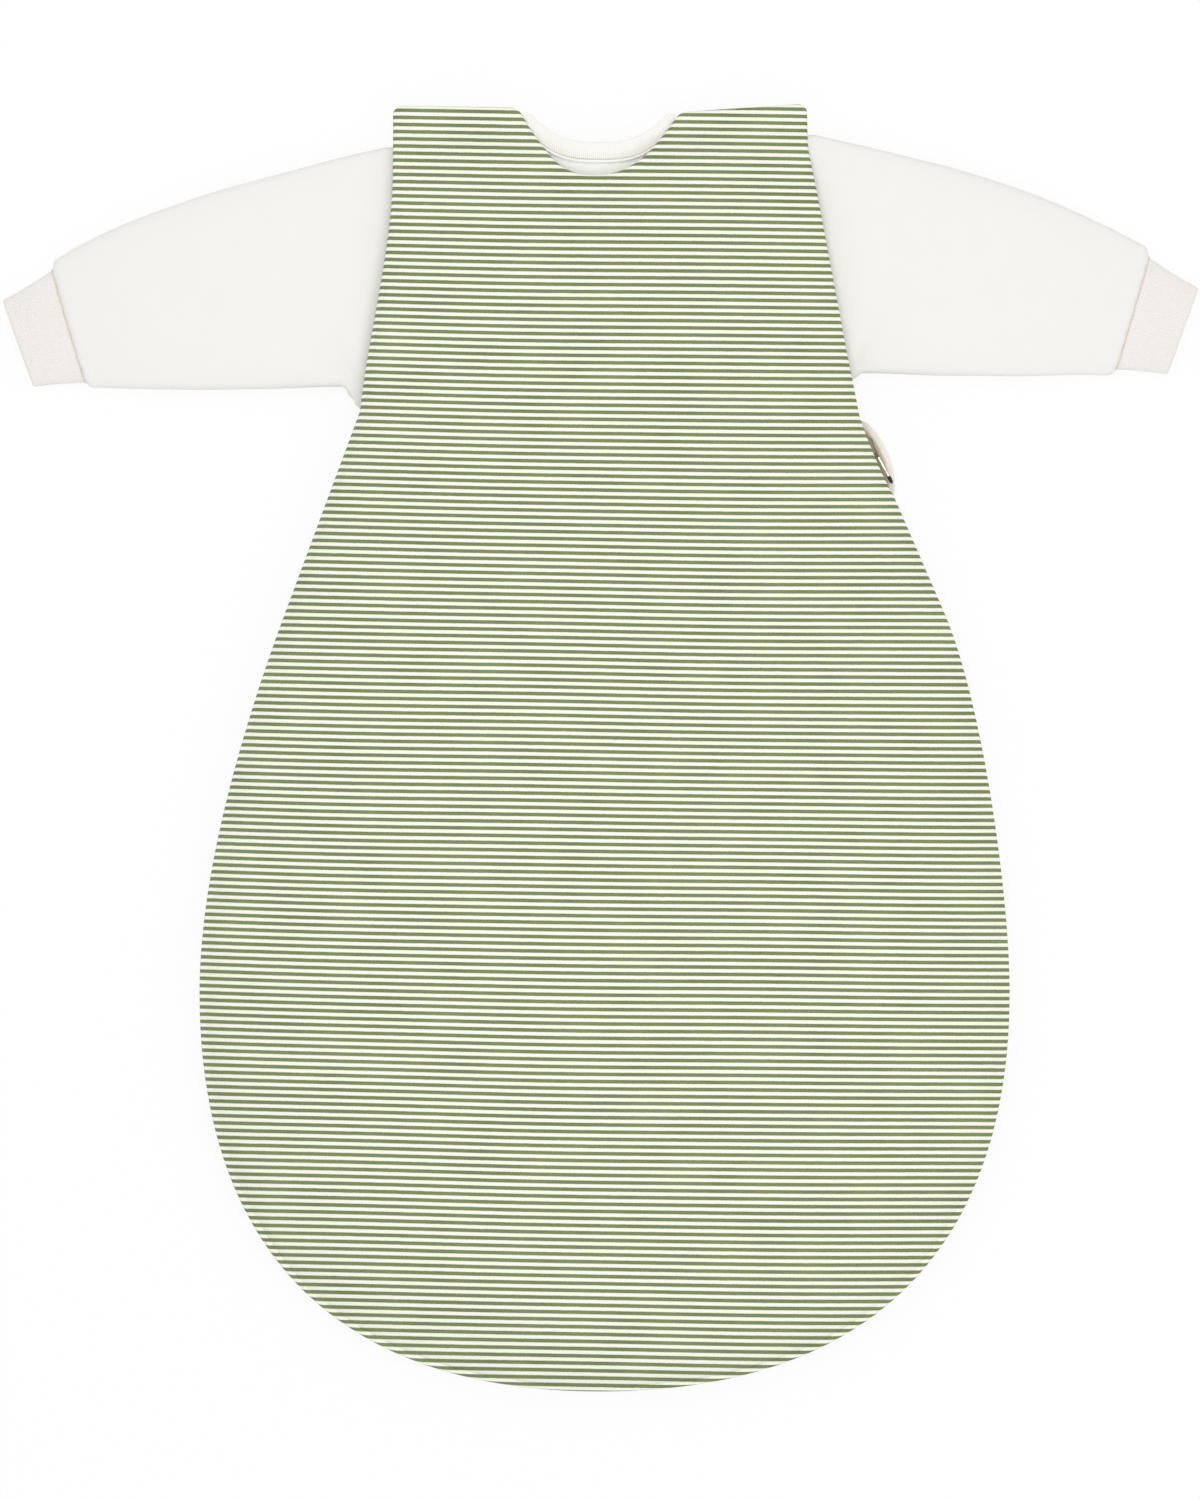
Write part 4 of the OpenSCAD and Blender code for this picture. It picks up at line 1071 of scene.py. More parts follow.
class SLEEPINGBAG_OT_stage(Operator):
    """Adds the floor, the soft lights, the surrounding light and the camera"""
    bl_idname = "sleeping_bag.stage"
    bl_label = "Stage"

    def execute(self, context):
        stage = context.scene.sleeping_bag_stage
        self.floor(stage)
        self.world(stage)
        self.lights(stage)
        self.camera(context, stage)
        context.scene.view_settings.view_transform = "Standard"
        return {"FINISHED"}

    def floor(self, stage):
        bpy.ops.object.select_all(action="DESELECT")
        bpy.ops.mesh.primitive_plane_add(size=16.0, location=(0, 0, -0.0004))
        floor = bpy.context.object
        floor.name = "floor"
        bpy.ops.object.transform_apply(location=True, rotation=False, scale=False)
        material = bpy.data.materials.new("floor_white")
        nodes = Nodes(material)
        cloth = nodes.node("ShaderNodeBsdfDiffuse", {"Color": (0.93, 0.93, 0.93, 1)})
        glow = nodes.node("ShaderNodeEmission", {"Strength": 1.0})
        nodes.mixed("ShaderNodeOutputMaterial", nodes.times(nodes.seen(), stage.floor_glow), cloth, glow)
        floor.data.materials.append(material)

    def world(self, stage):
        world = bpy.data.worlds.new("studio")
        nodes = Nodes(world)
        sky, white = (nodes.node("ShaderNodeBackground", {"Color": (1, 1, 1, 1), "Strength": strength})
                      for strength in (stage.sky, 1.0))
        nodes.mixed("ShaderNodeOutputWorld", nodes.seen(), sky, white)
        bpy.context.scene.world = world

    def lights(self, stage):
        for name, place, size, power in (
                ("key_light", (-0.2, 0.45, 2.0), 1.5, stage.key),
                ("fill_light", (0.9, -0.75, 1.8), 1.2, stage.fill)):
            data = bpy.data.lights.new(name, "AREA")
            data.shape = "SQUARE"
            data.size = size
            data.energy = power
            lamp = placed(name, data)
            lamp.location = place
            lamp.rotation_mode = "QUATERNION"
            lamp.rotation_quaternion = (-Vector(place)).to_track_quat("-Z", "Y")

    def camera(self, context, stage):
        data = bpy.data.cameras.new("camera")
        data.lens = stage.lens
        data.sensor_width = 36.0
        data.clip_end = 100.0
        camera = placed("camera", data)
        distance = stage.frame_height * stage.lens / data.sensor_width
        camera.location = (0.0, stage.frame_middle, stage.focus_height + distance)
        context.scene.camera = camera


# ---- outer bag ----

HEM_ROWS, SIDE_ROWS, COLUMNS = 84, 140, 111
WING_ROWS = 22
# Where the front and the straps would bend, from start to end, in metres; these are read but nothing bends.
FLAP_BEND = ("outer_bag", "front_flap", (0, 0.091, 0.05), (0, 0.043, 0.05))
STRAP_BEND = ((0, 0.318, 0.02), (0, 0.336, 0.02))
# Each layer's name, finish, inset, fineness of its grid, and thickness; the wadding is a closed pillow.
QUILT = (
    ("shell", "striped", ROLL, 1.0, SHELL),
    ("wadding", "wadding", 3.3, 0.55, 0.0),
    ("lining", "lining", 5.6, 0.7, LINING),
)
SHELL_GAP, LINING_GAP = 1.35, 1.3     # from a panel's outer and inner face to its wadding


def patches(depth, inset, fine):
    """A panel's patches: its body, and its shoulder on each side."""
    foot = TOP - depth - inset
    columns = int(COLUMNS * fine) // 2 * 2 + 1
    return [main_patch(foot, inset, int(HEM_ROWS * fine), int(SIDE_ROWS * fine), columns)] + [
        wing_patch(side, foot, depth, inset, WING_ROWS, columns // 2 + 1) for side in (SEAM, ZIP)]


def quilted(names, owners, part, front=True, bend=None, garage=False):
    """Some patches of a panel as its shell, wadding and lining, which replace their owners' layers."""
    if front:
        depth, outer, inner, drop = FRONT_NECK_DEPTH, front_high, front_low, lambda x, y: rim_height(y)
        low, high = lambda x, y: inner(x, y) + LINING_GAP, lambda x, y: outer(x, y) - SHELL_GAP
    else:
        depth, outer, inner, drop = BACK_NECK_DEPTH, back_low, back_high, back_high
        low, high = lambda x, y: outer(x, y) + SHELL_GAP, lambda x, y: inner(x, y) - LINING_GAP
    pieces = []
    for name, (layer, finish, inset, fine, thickness) in zip(names, QUILT):
        skin = Skin()
        chosen = patches(depth, inset, fine)[part]
        for patch in chosen:
            if layer == "shell":
                rolled_skin(skin, patch, outer, inner, front)
            elif layer == "wadding":
                pillow_skin(skin, patch, low, high)
            else:
                plain_skin(skin, patch, inner, drop, front)
        piece = skin.mesh(name)
        if len(chosen) > 1 or layer == "wadding":
            weld(piece, 0.02, outwards=False)
        if thickness:
            thicken(piece, thickness)
        smooth(piece, 50.0 if thickness else 80.0)
        if garage:
            shift_cloth(piece, beside_garage)
        shift_cloth(piece, neck_pull(*NECK_SHIFT))
        settle(piece, finish, *(f"{owner}_{layer}" for owner in owners), bend=bend)
        pieces.append(piece)
    return pieces


def stretched(piece):
    flat_area(piece)


def shift_cloth(piece, how_far):
    """Moves a piece's points by a function of their place, and the stripes with them so that they stay."""
    mesh = piece.data
    points = np.zeros(3 * len(mesh.vertices))
    mesh.vertices.foreach_get("co", points)
    points = points.reshape(-1, 3)
    step = how_far(points[:, 0] / MM, points[:, 1] / MM) * MM
    points[:, :2] += step
    mesh.vertices.foreach_set("co", points.ravel())
    corners = np.zeros(len(mesh.loops), np.int32)
    mesh.loops.foreach_get("vertex_index", corners)
    cloth = np.zeros(2 * len(corners))
    mesh.uv_layers["cloth"].data.foreach_get("uv", cloth)
    cloth = cloth.reshape(-1, 2) + step[corners]
    mesh.uv_layers["cloth"].data.foreach_set("uv", cloth.astype(np.float32).ravel())
    mesh.update()


def beside_garage(x, y):
    """The front's edge gives way a little beside the slider, and less and less away from the edge."""
    start, end = np.array(ARMPIT[ZIP]), np.array([WAIST_HALF[ZIP], WAIST])
    along = unit(end - start)
    out = -right_of(along)
    local = np.column_stack([x, y]) - start
    down, beyond = local @ along, local @ out
    push = np.sin(np.pi * np.clip((down - 3) / 44, 0, 1)) ** 0.6 * ease((beyond + 45) / 37)
    return -push[:, None] * out


def neck_pull(foot_shift, top_shift, sink):
    """The neck opening lies low and towards the seamed side, and the shoulders' top edges are drawn up."""
    def how_far(x, y):
        near = (1 - ease((np.abs(x) - 48) / 45)) * ease((y - 235) / 60)
        sideways = near * mix(foot_shift, top_shift, ease((y - NECK_FOOT) / 14))
        down = near * sink * (1 - ease((y - NECK_FOOT - 4) / 22))
        up = mix(SHOULDER_LIFT[SEAM], SHOULDER_LIFT[ZIP], ease(x / SHOULDER_HALF)) * ease((y - TOP + 40) / 40)
        return np.column_stack([-sideways, up - down])
    return how_far


class SLEEPINGBAG_OT_outer_front(Operator):
    """Makes the front of the outer bag: striped shell, wadding and lining"""
    bl_idname = "sleeping_bag.outer_front"
    bl_label = "Outer Front"

    def execute(self, context):
        shell, fill, lining = quilted(("front_shell", "front_wadding", "front_lining"), ("chest", "flap"),
                                      slice(0, 1), bend=FLAP_BEND, garage=True)
        stretched(shell)
        stretched(lining)
        return {"FINISHED"}


class SLEEPINGBAG_OT_straps(Operator):
    """Makes the two front shoulder straps"""
    bl_idname = "sleeping_bag.straps"
    bl_label = "Shoulder Straps"

    def execute(self, context):
        for side, name in enumerate(SIDE_NAMES):
            strap = f"{name}_strap"
            names = (f"{strap}_shell_cloth", f"{strap}_filling", f"{strap}_lining_cloth")
            bend = ("outer_bag", strap, *STRAP_BEND)
            shell, fill, lining = quilted(names, (strap,), slice(side + 1, side + 2), bend=bend)
            for piece in (shell, lining):
                stretched(piece)
        return {"FINISHED"}


class SLEEPINGBAG_OT_outer_back(Operator):
    """Makes the back of the outer bag: striped shell, wadding and lining"""
    bl_idname = "sleeping_bag.outer_back"
    bl_label = "Outer Back"

    def execute(self, context):
        shell, fill, lining = quilted(("back_shell", "back_wadding", "back_lining"), ("outer_back",),
                                      slice(0, 3), front=False)
        stretched(shell)
        stretched(lining)
        return {"FINISHED"}


# ---- zip ----

def zip_line(zip_from, seam_to, inset, step):
    """The zip's path round the bag at an inset: points, outward directions and distances."""
    parts = []
    for side, limit in ((ZIP, zip_from), (SEAM, seam_to)):
        line = outline_points(side)
        line = np.concatenate([[[half_width(side, limit), limit]], line[line[:, 1] < limit - 0.2]])
        parts.append(line * [SIGN[side], 1])
    line = resample(np.concatenate([parts[0], parts[1][-2::-1]]), step)
    out = -right_of(unit(np.gradient(line, axis=0)))
    line = line - inset * out
    return line, out, distances(line)


def tape_piece(name, low, high):
    """A standing strip of tape with slightly thinner edges."""
    line, out, run = zip_line(CHAIN_TOP, CHAIN_END, TAPE_OUT + TAPE / 2, 1.6)
    shares = np.linspace(0, 1, 7)
    faces = [(side, s) for side in (1, -1) for s in shares[::side]]
    heights = np.array([mix(low, high, s) for _, s in faces])
    rows = np.stack([
        np.column_stack([line + side * (TAPE / 2 - 0.12 * (s in (0.0, 1.0))) * out, np.full(len(line), z)])
        for (side, s), z in zip(faces, heights)], axis=1)
    skin = Skin()
    net = skin.add(rows, np.dstack(np.broadcast_arrays(run[:, None], heights)))
    skin.net(net, around=True)
    k = np.arange(len(shares) - 1)
    for loop, flip in ((net[0], True), (net[-1], False)):
        skin.quads(loop[k], loop[k + 1], loop[-2 - k], loop[-1 - k], flip=flip)
    return skin.closed(name, 0.01, 50)


class SLEEPINGBAG_OT_zip_tapes(Operator):
    """Makes the woven tapes of the zip along the back and along the front"""
    bl_idname = "sleeping_bag.zip_tapes"
    bl_label = "Zip Tapes"

    def execute(self, context):
        overlap = CHAIN_HALF - 0.5
        settle(tape_piece("zip_tape_back", ZIP_LOW, ZIP_MID - overlap), "tape", "back_zip_tape")
        settle(tape_piece("zip_tape_front", ZIP_MID + overlap, ZIP_HIGH), "tape",
               "chest_zip_tape", "flap_zip_tape", bend=FLAP_BEND)
        return {"FINISHED"}


def tooth_model(wire, height, depth):
    """One tooth: a loop of nylon wire, pressed oval. Returns its points and faces in millimetres."""
    bpy.ops.object.select_all(action="DESELECT")
    bpy.ops.mesh.primitive_torus_add(major_segments=10, minor_segments=5, major_radius=1.0, minor_radius=wire,
                                     location=(0, 0, 0))
    tooth = bpy.context.object
    with editing():
        bpy.ops.transform.resize(value=(depth, height, 1.0))
    points = np.array([v.co for v in tooth.data.vertices])
    faces = np.array([list(p.vertices) for p in tooth.data.polygons])
    bpy.data.objects.remove(tooth)
    return points, faces


def coil_piece(name, shift, base, reach):
    """A row of teeth: copies of one loop along the zip, from a height at the tape towards the middle."""
    pitch = 1000 * bpy.context.scene.sleeping_bag_zip.coil_pitch
    line, out, run = zip_line(CHAIN_TOP - 0.6, CHAIN_END + 1.5, CHAIN_MIDDLE, 0.6)
    points, faces = tooth_model(0.34, abs(reach - base) / 2 - 0.34, 0.72)
    s = np.arange(shift * pitch + 0.6, run[-1] - 0.6, pitch)
    away = unit(between(run, out, s))[:, None]
    x, y, z = points.T
    lean = (z + 0.22 * x)[:, None]
    plan = between(run, line, s)[:, None] + x[:, None] * away + lean * right_of(away)
    rows = np.dstack([plan, np.broadcast_to((base + reach) / 2 + y, plan.shape[:2])])
    skin = Skin()
    index = skin.add(rows, plan)
    skin.faces.append((faces[None] + index[:, :1, None]).reshape(-1, faces.shape[1]))
    return skin.closed(name, 0.001, 80)


class SLEEPINGBAG_OT_zip_coils(Operator):
    """Makes the two interlocking rows of nylon teeth"""
    bl_idname = "sleeping_bag.zip_coils"
    bl_label = "Zip Coils"

    def execute(self, context):
        back = coil_piece("zip_coil_back", 0.0, ZIP_MID - CHAIN_HALF, ZIP_MID + 0.55)
        settle(back, "coil", "back_zip_coil")
        front = coil_piece("zip_coil_front", 0.5, ZIP_MID + CHAIN_HALF, ZIP_MID - 0.55)
        settle(front, "coil", "chest_zip_coil", "flap_zip_coil", bend=FLAP_BEND)
        return {"FINISHED"}


def side_frame(side, y):
    """The frame on a side below the armpit: X down the side, Y outwards, Z up, from the edge at mid zip."""
    a, b = np.array(ARMPIT[side]), np.array([WAIST_HALF[side], WAIST])
    mirror = np.array([SIGN[side], 1])
    along = unit(b - a) * mirror
    out = -right_of(along) * SIGN[side]
    x, y = mix(a, b, (a[1] - y) / (a[1] - b[1])) * mirror * MM
    return Matrix(((along[0], out[0], 0, x), (along[1], out[1], 0, y), (0, 0, 1, ZIP_MID * MM), (0, 0, 0, 1)))


def put_on_side(piece, side, y):
    piece.data.transform(side_frame(side, y))
    weld(piece, 0.0001)


def box_part(low, high, bevel, segments=3):
    """A block between two corners in millimetres with its edges rounded in edit mode."""
    low, high = np.array(low, float), np.array(high, float)
    bpy.ops.object.select_all(action="DESELECT")
    bpy.ops.mesh.primitive_cube_add(size=1.0, location=tuple((low + high) / 2 * MM))
    part = bpy.context.object
    with editing():
        bpy.ops.transform.resize(value=tuple((high - low) * MM))
        bpy.ops.mesh.bevel(offset=bevel * MM, segments=segments, affect="EDGES")
    bpy.ops.object.transform_apply(location=True, rotation=True, scale=True)
    return part


def shaped_block(low, high, cuts, shape, width, segments):
    """A block that is cut up in edit mode, then moved point by point, with its edges rounded."""
    part = box_part(low, high, 0.01, 1)
    with editing():
        bpy.ops.mesh.subdivide(number_cuts=cuts)
    for v in part.data.vertices:
        shape(v.co)
    round_off(part, width, segments, 50)
    return part


def pin_part(length, radius, height):
    """A round bar along Z at a height, with its rims rounded."""
    bpy.ops.object.select_all(action="DESELECT")
    bpy.ops.mesh.primitive_cylinder_add(vertices=20, radius=radius * MM, depth=length * MM,
                                        location=(0, 0, 0))
    part = bpy.context.object
    with editing("DESELECT"):
        pass                              # the end faces alone are selected, in object mode
    for face in part.data.polygons:
        face.select = abs(face.normal.z) > 0.9
    with editing(None):
        bpy.ops.mesh.select_mode(type="FACE")
        bpy.ops.mesh.bevel(offset=0.15 * MM, segments=3, affect="EDGES")
    part.data.transform(Matrix.Translation((0, height * MM, 0)) @ Matrix.Rotation(math.pi, 4, "Z"))
    return part


def joined(parts, name):
    """Parts joined into one piece."""
    bpy.ops.object.select_all(action="DESELECT")
    for part in parts:
        part.select_set(True)
    bpy.context.view_layer.objects.active = parts[0]
    if len(parts) > 1:
        bpy.ops.object.join()
    piece = bpy.context.object
    piece.name = piece.data.name = name
    return piece


class SLEEPINGBAG_OT_zip_stops(Operator):
    """Makes the metal stops at the top and the end of the zip"""
    bl_idname = "sleeping_bag.zip_stops"
    bl_label = "Zip Stops"

    def execute(self, context):
        top_blocks = [((-1.2, -5.2, z[0]), (1.2, -3.0, z[1]), 0.35) for z in ((-2.4, -0.8), (0.8, 2.4))]
        end_blocks = [((-1.8, -5.2, -2.4), (1.8, -3.0, 2.4), 0.4)]
        for name, blocks, side, y, node in (
                ("zip_top_stop_pair", top_blocks, ZIP, CHAIN_TOP + 1.4, "zip_top_stops"),
                ("zip_end_clip", end_blocks, SEAM, CHAIN_END + 2, "zip_end_stop")):
            piece = joined([box_part(*block) for block in blocks], name)
            put_on_side(piece, side, y)
            smooth(piece)
            settle(piece, "zip_metal", node)
        return {"FINISHED"}


SLIDER_LENGTH, SLIDER_WIDTH = 12.0, 9.0
OUTER_PLATE, INNER_PLATE = (-2.6, -1.6), (-6.6, -5.6)   # depths of the slider's two plates
PIN_OUT, PIN_R = 0.35, 0.8


def slider_plate(low, high):
    """One plate of the slider: a shield that narrows towards its tail."""
    half_l, half_w = SLIDER_LENGTH / 2, SLIDER_WIDTH / 2

    def shield(point):
        t = (point.x / MM + half_l) / SLIDER_LENGTH
        narrow = 1 - 0.30 * float(ease((t - 0.35) / 0.5)) - 0.34 * max(0.0, (t - 0.86) / 0.14) ** 2
        point.z *= narrow - 0.12 * max(0.0, (0.12 - t) / 0.12) ** 2
    return shaped_block((-half_l, low, -half_w), (half_l, high, half_w), 6, shield, 0.28, 3)


def bridge_cheek(low, high):
    """One cheek of the bridge: an arch along the slider."""
    def arch(point):
        x, up = point.x / MM, (point.y / MM + 2.0) / 2.0
        crest = PIN_OUT + PIN_R + 0.4 if abs(x) < 2 else 1.2 if x > 0 else 0.4
        crest *= max(0.0, 1 - ((x - 1.4) / 6.2) ** 4)
        point.y = (-2.0 + up * (2.0 + crest)) * MM
    return shaped_block((-4.6, -2.0, low), (7.4, 0.0, high), 9, arch, 0.22, 2)


class SLEEPINGBAG_OT_zip_slider(Operator):
    """Makes the slider: two plates with turned edges, the post between the rows and the pull tab's bridge"""
    bl_idname = "sleeping_bag.zip_slider"
    bl_label = "Zip Slider"

    def execute(self, context):
        half_w, head = SLIDER_WIDTH / 2, -SLIDER_LENGTH / 2
        tail = SLIDER_LENGTH * 0.62 - SLIDER_LENGTH / 2
        parts = [slider_plate(*OUTER_PLATE), slider_plate(*INNER_PLATE)]
        for up in (-1, 1):
            z = sorted((up * half_w, up * (half_w - 1.7)))
            for low, high in ((-3.3, -2.2), (-6.0, -4.9)):
                parts.append(box_part((head, low, z[0]), (tail, high, z[1]), 0.3))
            parts.append(bridge_cheek(up * 2 - 0.5, up * 2 + 0.5))
        parts.append(box_part((-SLIDER_LENGTH * 0.45, -6.1, -0.45), (-SLIDER_LENGTH * 0.15, -2.1, 0.45), 0.2))
        parts.append(pin_part(4.4, PIN_R, PIN_OUT))
        slider = joined(parts, "slider_body")
        put_on_side(slider, ZIP, SLIDER_Y)
        smooth(slider, 40)
        # The slider's metal is darkened: painted shade.
        settle(slider, "zip_metal", "zip_slider", body="slider")
        return {"FINISHED"}


PULL_TILT = math.radians(4.5)
PULL_END, PULL_ROUND = 22.15, 3.2     # where the pull tab's round end has its middle, and its radius
# The pull tab's half width by distance from the slider's pin.
PULL_BAR = ((0.9, 1.3), (2.5, 1.3), (6.0, 1.15), (11.0, 1.2), (15.0, 1.5), (17.6, 2.1), (19.6, 2.75),
            (20.9, 3.08), (PULL_END, PULL_ROUND))


class SLEEPINGBAG_OT_zip_pull(Operator):
    """Makes the pull tab: a flat bar with an eye round the slider's pin and a pierced round end"""
    bl_idname = "sleeping_bag.zip_pull"
    bl_label = "Pull Tab"

    def execute(self, context):
        bar = self.bar()
        link = joined([self.eye(), box_part((1.5, -0.62, -1.3), (10.0, 0.62, 1.3), 0.3)], "pull_tab_link")
        around = np.radians(np.linspace(-98, 98, 41))
        line = np.column_stack([PULL_END + 3.15 * np.cos(around), 0 * around, 3.15 * np.sin(around)])
        # A near-black cord round the tab's end: a painted dark reflection.
        tip = cord("pull_tab_painted_dark_tip", line, 0.75, 0.8, up=(0.0, 1.0, 0.0))
        hang = Matrix.Translation((0, PIN_OUT * MM, 0)) @ Matrix.Rotation(PULL_TILT, 4, "Z")
        for piece, angle, finish, *nodes in ((link, 40, "zip_metal"), (bar, 40, "pull_metal", "zip_pull_tab"),
                                             (tip, 80, "pull_tip")):
            piece.data.transform(hang)
            put_on_side(piece, ZIP, SLIDER_Y)
            smooth(piece, angle)
            settle(piece, finish, *nodes, body="pull_tab")
        return {"FINISHED"}

    def bar(self):
        """The flat bar: an outline with a hole, filled, drawn out in edit mode and rounded."""
        arc = np.linspace(0, math.pi, 19)[1:-1]
        outline = [(x, -w) for x, w in PULL_BAR]
        outline += [(PULL_END + PULL_ROUND * math.sin(a), -PULL_ROUND * math.cos(a)) for a in arc]
        outline += [(x, w) for x, w in PULL_BAR[::-1]]
        turn = np.linspace(0, 2 * math.pi, 24, endpoint=False)
        hole = [(PULL_END + 0.4 + 1.3 * math.cos(a), 1.3 * math.sin(a)) for a in turn]
        bar = placed("pull_tab_bar", bpy.data.meshes.new("pull_tab_bar"))
        with mesh_of(bar) as mesh:
            loops = [[mesh.verts.new((x * MM, -0.5 * MM, z * MM)) for x, z in line]
                     for line in (outline, hole)]
            edges = [mesh.edges.new(ends) for loop in loops for ends in zip(loop, loop[1:] + loop[:1])]
            bmesh.ops.triangle_fill(mesh, edges=edges, use_beauty=True, use_dissolve=False)
        only(bar)
        with editing():
            bpy.ops.mesh.extrude_region_move(TRANSFORM_OT_translate={"value": (0, 1.0 * MM, 0)})
            bpy.ops.mesh.select_all(action="SELECT")
            bpy.ops.mesh.normals_make_consistent(inside=False)
        round_off(bar, 0.22, 3, 40)
        return bar

    def eye(self):
        """The loop round the pin: a square profile spun round the pin's axis."""
        bpy.ops.object.select_all(action="DESELECT")
        bpy.ops.mesh.primitive_plane_add(size=1.0, location=(1.3 * MM, 0, 0), rotation=(math.pi / 2, 0, 0))
        eye = bpy.context.object
        bpy.ops.object.transform_apply(location=True, rotation=True, scale=True)
        for v in eye.data.vertices:
            out, up = math.copysign(0.34, v.co.x - 1.3 * MM), math.copysign(1.25, v.co.z)
            v.co = Vector(((1.3 + out) * MM, 0, up * MM))
        spin_shape(32, 0.01, use_auto_merge=True)
        with mesh_of(eye) as mesh:
            # A full spin leaves faces inside whose edges are all shared by more than two faces.
            inside = [f for f in mesh.faces if all(len(e.link_faces) > 2 for e in f.edges)]
            bmesh.ops.delete(mesh, geom=inside, context="FACES_ONLY")
            bmesh.ops.recalc_face_normals(mesh, faces=mesh.faces)
        return eye


def spin_shape(steps, close, **ways):
    """Spins the active piece's profile round Z in edit mode, and closes its seam."""
    with editing():
        bpy.ops.mesh.spin(steps=steps, angle=2 * math.pi, center=(0, 0, 0), axis=(0, 0, 1), **ways)
        bpy.ops.mesh.select_all(action="SELECT")
        bpy.ops.mesh.remove_doubles(threshold=close * MM)
        bpy.ops.mesh.normals_make_consistent(inside=False)


GARAGE_LENGTH, GARAGE_OUT, GARAGE = 46.5, 7.5, 2.6


class SLEEPINGBAG_OT_zip_garage(Operator):
    """Makes the folded crescent of lining that the slider parks against"""
    bl_idname = "sleeping_bag.zip_garage"
    bl_label = "Zip Garage"

    def execute(self, context):
        t = np.linspace(0, 1, 49)
        bulge = np.maximum(0, np.sin(np.pi * t)) ** (0.5 + 0.26 * ease((t - 0.45) / 0.15))
        x = mix(-GARAGE_LENGTH / 2, GARAGE_LENGTH / 2, t)
        z0 = ZIP_LOW - ZIP_MID - GARAGE / 2 - 0.4
        rows, cloth = [], []
        for angle in np.linspace(0, 2 * np.pi, 33)[:-1]:
            share = (1 - np.cos(angle)) / 2          # 0 at the seam, 1 at the outer fold
            plump = np.sqrt(np.clip(1 - (share - 0.35) ** 2 / 0.55, 0, 1))
            thick = GARAGE / 2 * plump * np.sign(np.sin(angle))
            y = -0.4 + share * (GARAGE_OUT * bulge + 0.3)
            z = z0 + thick * np.sqrt(np.maximum(0.02, bulge)) * 0.9 * min(1.0, abs(math.sin(angle)) * 1.6)
            z = z + 0.12 * np.sin(x / 1.7) * share * bulge
            rows.append(np.column_stack([x, y, z]))
            cloth.append(np.column_stack([x, (1 - share) * GARAGE_OUT * bulge]))
        piece = net_piece("zip_garage_crescent", np.stack(rows), np.stack(cloth), along=True)
        with mesh_of(piece) as mesh:
            bmesh.ops.holes_fill(mesh, edges=mesh.edges, sides=64)
        put_on_side(piece, ZIP, CHAIN_TOP - 22.0)
        smooth(piece, 70)
        # The crescent's finish has painted shade towards the zip.
        settle(piece, "facing_painted_shade", "zip_garage")
        return {"FINISHED"}


class SLEEPINGBAG_OT_side_seam(Operator):
    """Makes the sewn stretch of the seamed side between the armpit and the end of the zip"""
    bl_idname = "sleeping_bag.side_seam"
    bl_label = "Side Seam"

    def execute(self, context):
        y = np.linspace(CHAIN_END + 4.5, ARMPIT[SEAM][1] - 2.2, 75)
        rim = EDGE_RIMS[SEAM]
        out = rim.outward(y) * [-1, 1]
        edge = np.column_stack([-rim.half(y), y])
        v = np.linspace(0, 1, 25)
        z = mix(ZIP_LOW, ZIP_HIGH, v)
        pinch = 1 - np.abs(2 * v - 1)
        depth = 1.2 + 1.5 * ease(pinch) + 0.5 * np.exp(-((v - 0.5) / 0.06) ** 2)
        pucker = 0.18 * np.sin(y / 1.6)[:, None] * np.exp(-((v - 0.5) / 0.25) ** 2)[None]
        plan = edge[:, None, :] - (depth[None] + pucker)[..., None] * out[:, None, :]
        rows = np.dstack([plan, np.broadcast_to(z[None], plan.shape[:2])])
        run = np.concatenate([[0.0], np.cumsum(np.hypot(np.diff(depth), np.diff(z)))])
        cloth = stripe_map(edge)[:, None, :] - run[None, :, None] * out[:, None, :] * [1, 0]
        settle(cloth_piece("side_seam_cloth", rows, cloth, 0.7, flip=True), "striped", "side_seam")
        return {"FINISHED"}


# ---- inner bag ----

INNER_Z = ZIP_LOW - 0.4
INNER_INSET, INNER_HEM_GAP, INNER_SINK = 14.0, 26.0, 8.2
INNER_HEM = HEM + INNER_HEM_GAP
INNER_TOP = TOP - 22 - 1.5
PLACKET_HALF, PLACKET_RISE = 11.0, 4.6
BAND_HEIGHT = 9.0
BAND_FOOT = NECK_FOOT + 8.7
BAND_HALF, BAND_RISE, BAND_POWER = 38.7, 14.7, 2.8
PLACKET_YS = tuple(TOP - 88 - 46.0 * k for k in range(4))


def inner_half(side, y):
    y = np.asarray(y, float)
    s = np.clip((HIP - y) / (HIP - INNER_HEM), 0, 0.999)
    low = half_width(side, HIP - s * (HIP - HEM)) * (1 - INNER_INSET / HIP_HALF[side])
    return np.where(y >= HIP, half_width(side, y) - INNER_INSET, low)


def band_seam_y(x):
    return BAND_FOOT + BAND_RISE * (np.abs(x) / BAND_HALF) ** BAND_POWER


def neck_lift(x, y):
    """How far the middle of the back neck stands up inside the neck opening."""
    return 5.5 * np.exp(-(x / 31) ** 2) * ease((y - NECK_FOOT + 10) / 9)


def inner_neck_y(x):
    return np.minimum(INNER_TOP, NECK_FOOT - BAND_HEIGHT - 1 + 26 * (np.abs(x) / NECK_HALF) ** NECK_POWER)


def rim_height_flat(y):
    """The front's rim height with the corners that the solids have."""
    return np.interp(TOP - y, *zip(*RIM_HEIGHTS))


def inner_front_z(y, r):
    t = np.clip((y - ARMPIT[ZIP][1]) / (INNER_TOP - ARMPIT[ZIP][1]), 0, 1)
    edge = INNER_Z + JERSEY + 5.6 * np.sin(np.pi * t) ** 0.5
    full = rim_height_flat(y) + crown_height(y) - INNER_SINK
    return edge + np.maximum(0.5, full - edge) * dome(r)


def over_rise(x):
    return PLACKET_RISE * (1 - np.clip((x - PLACKET_HALF) / 30, 0, 1))


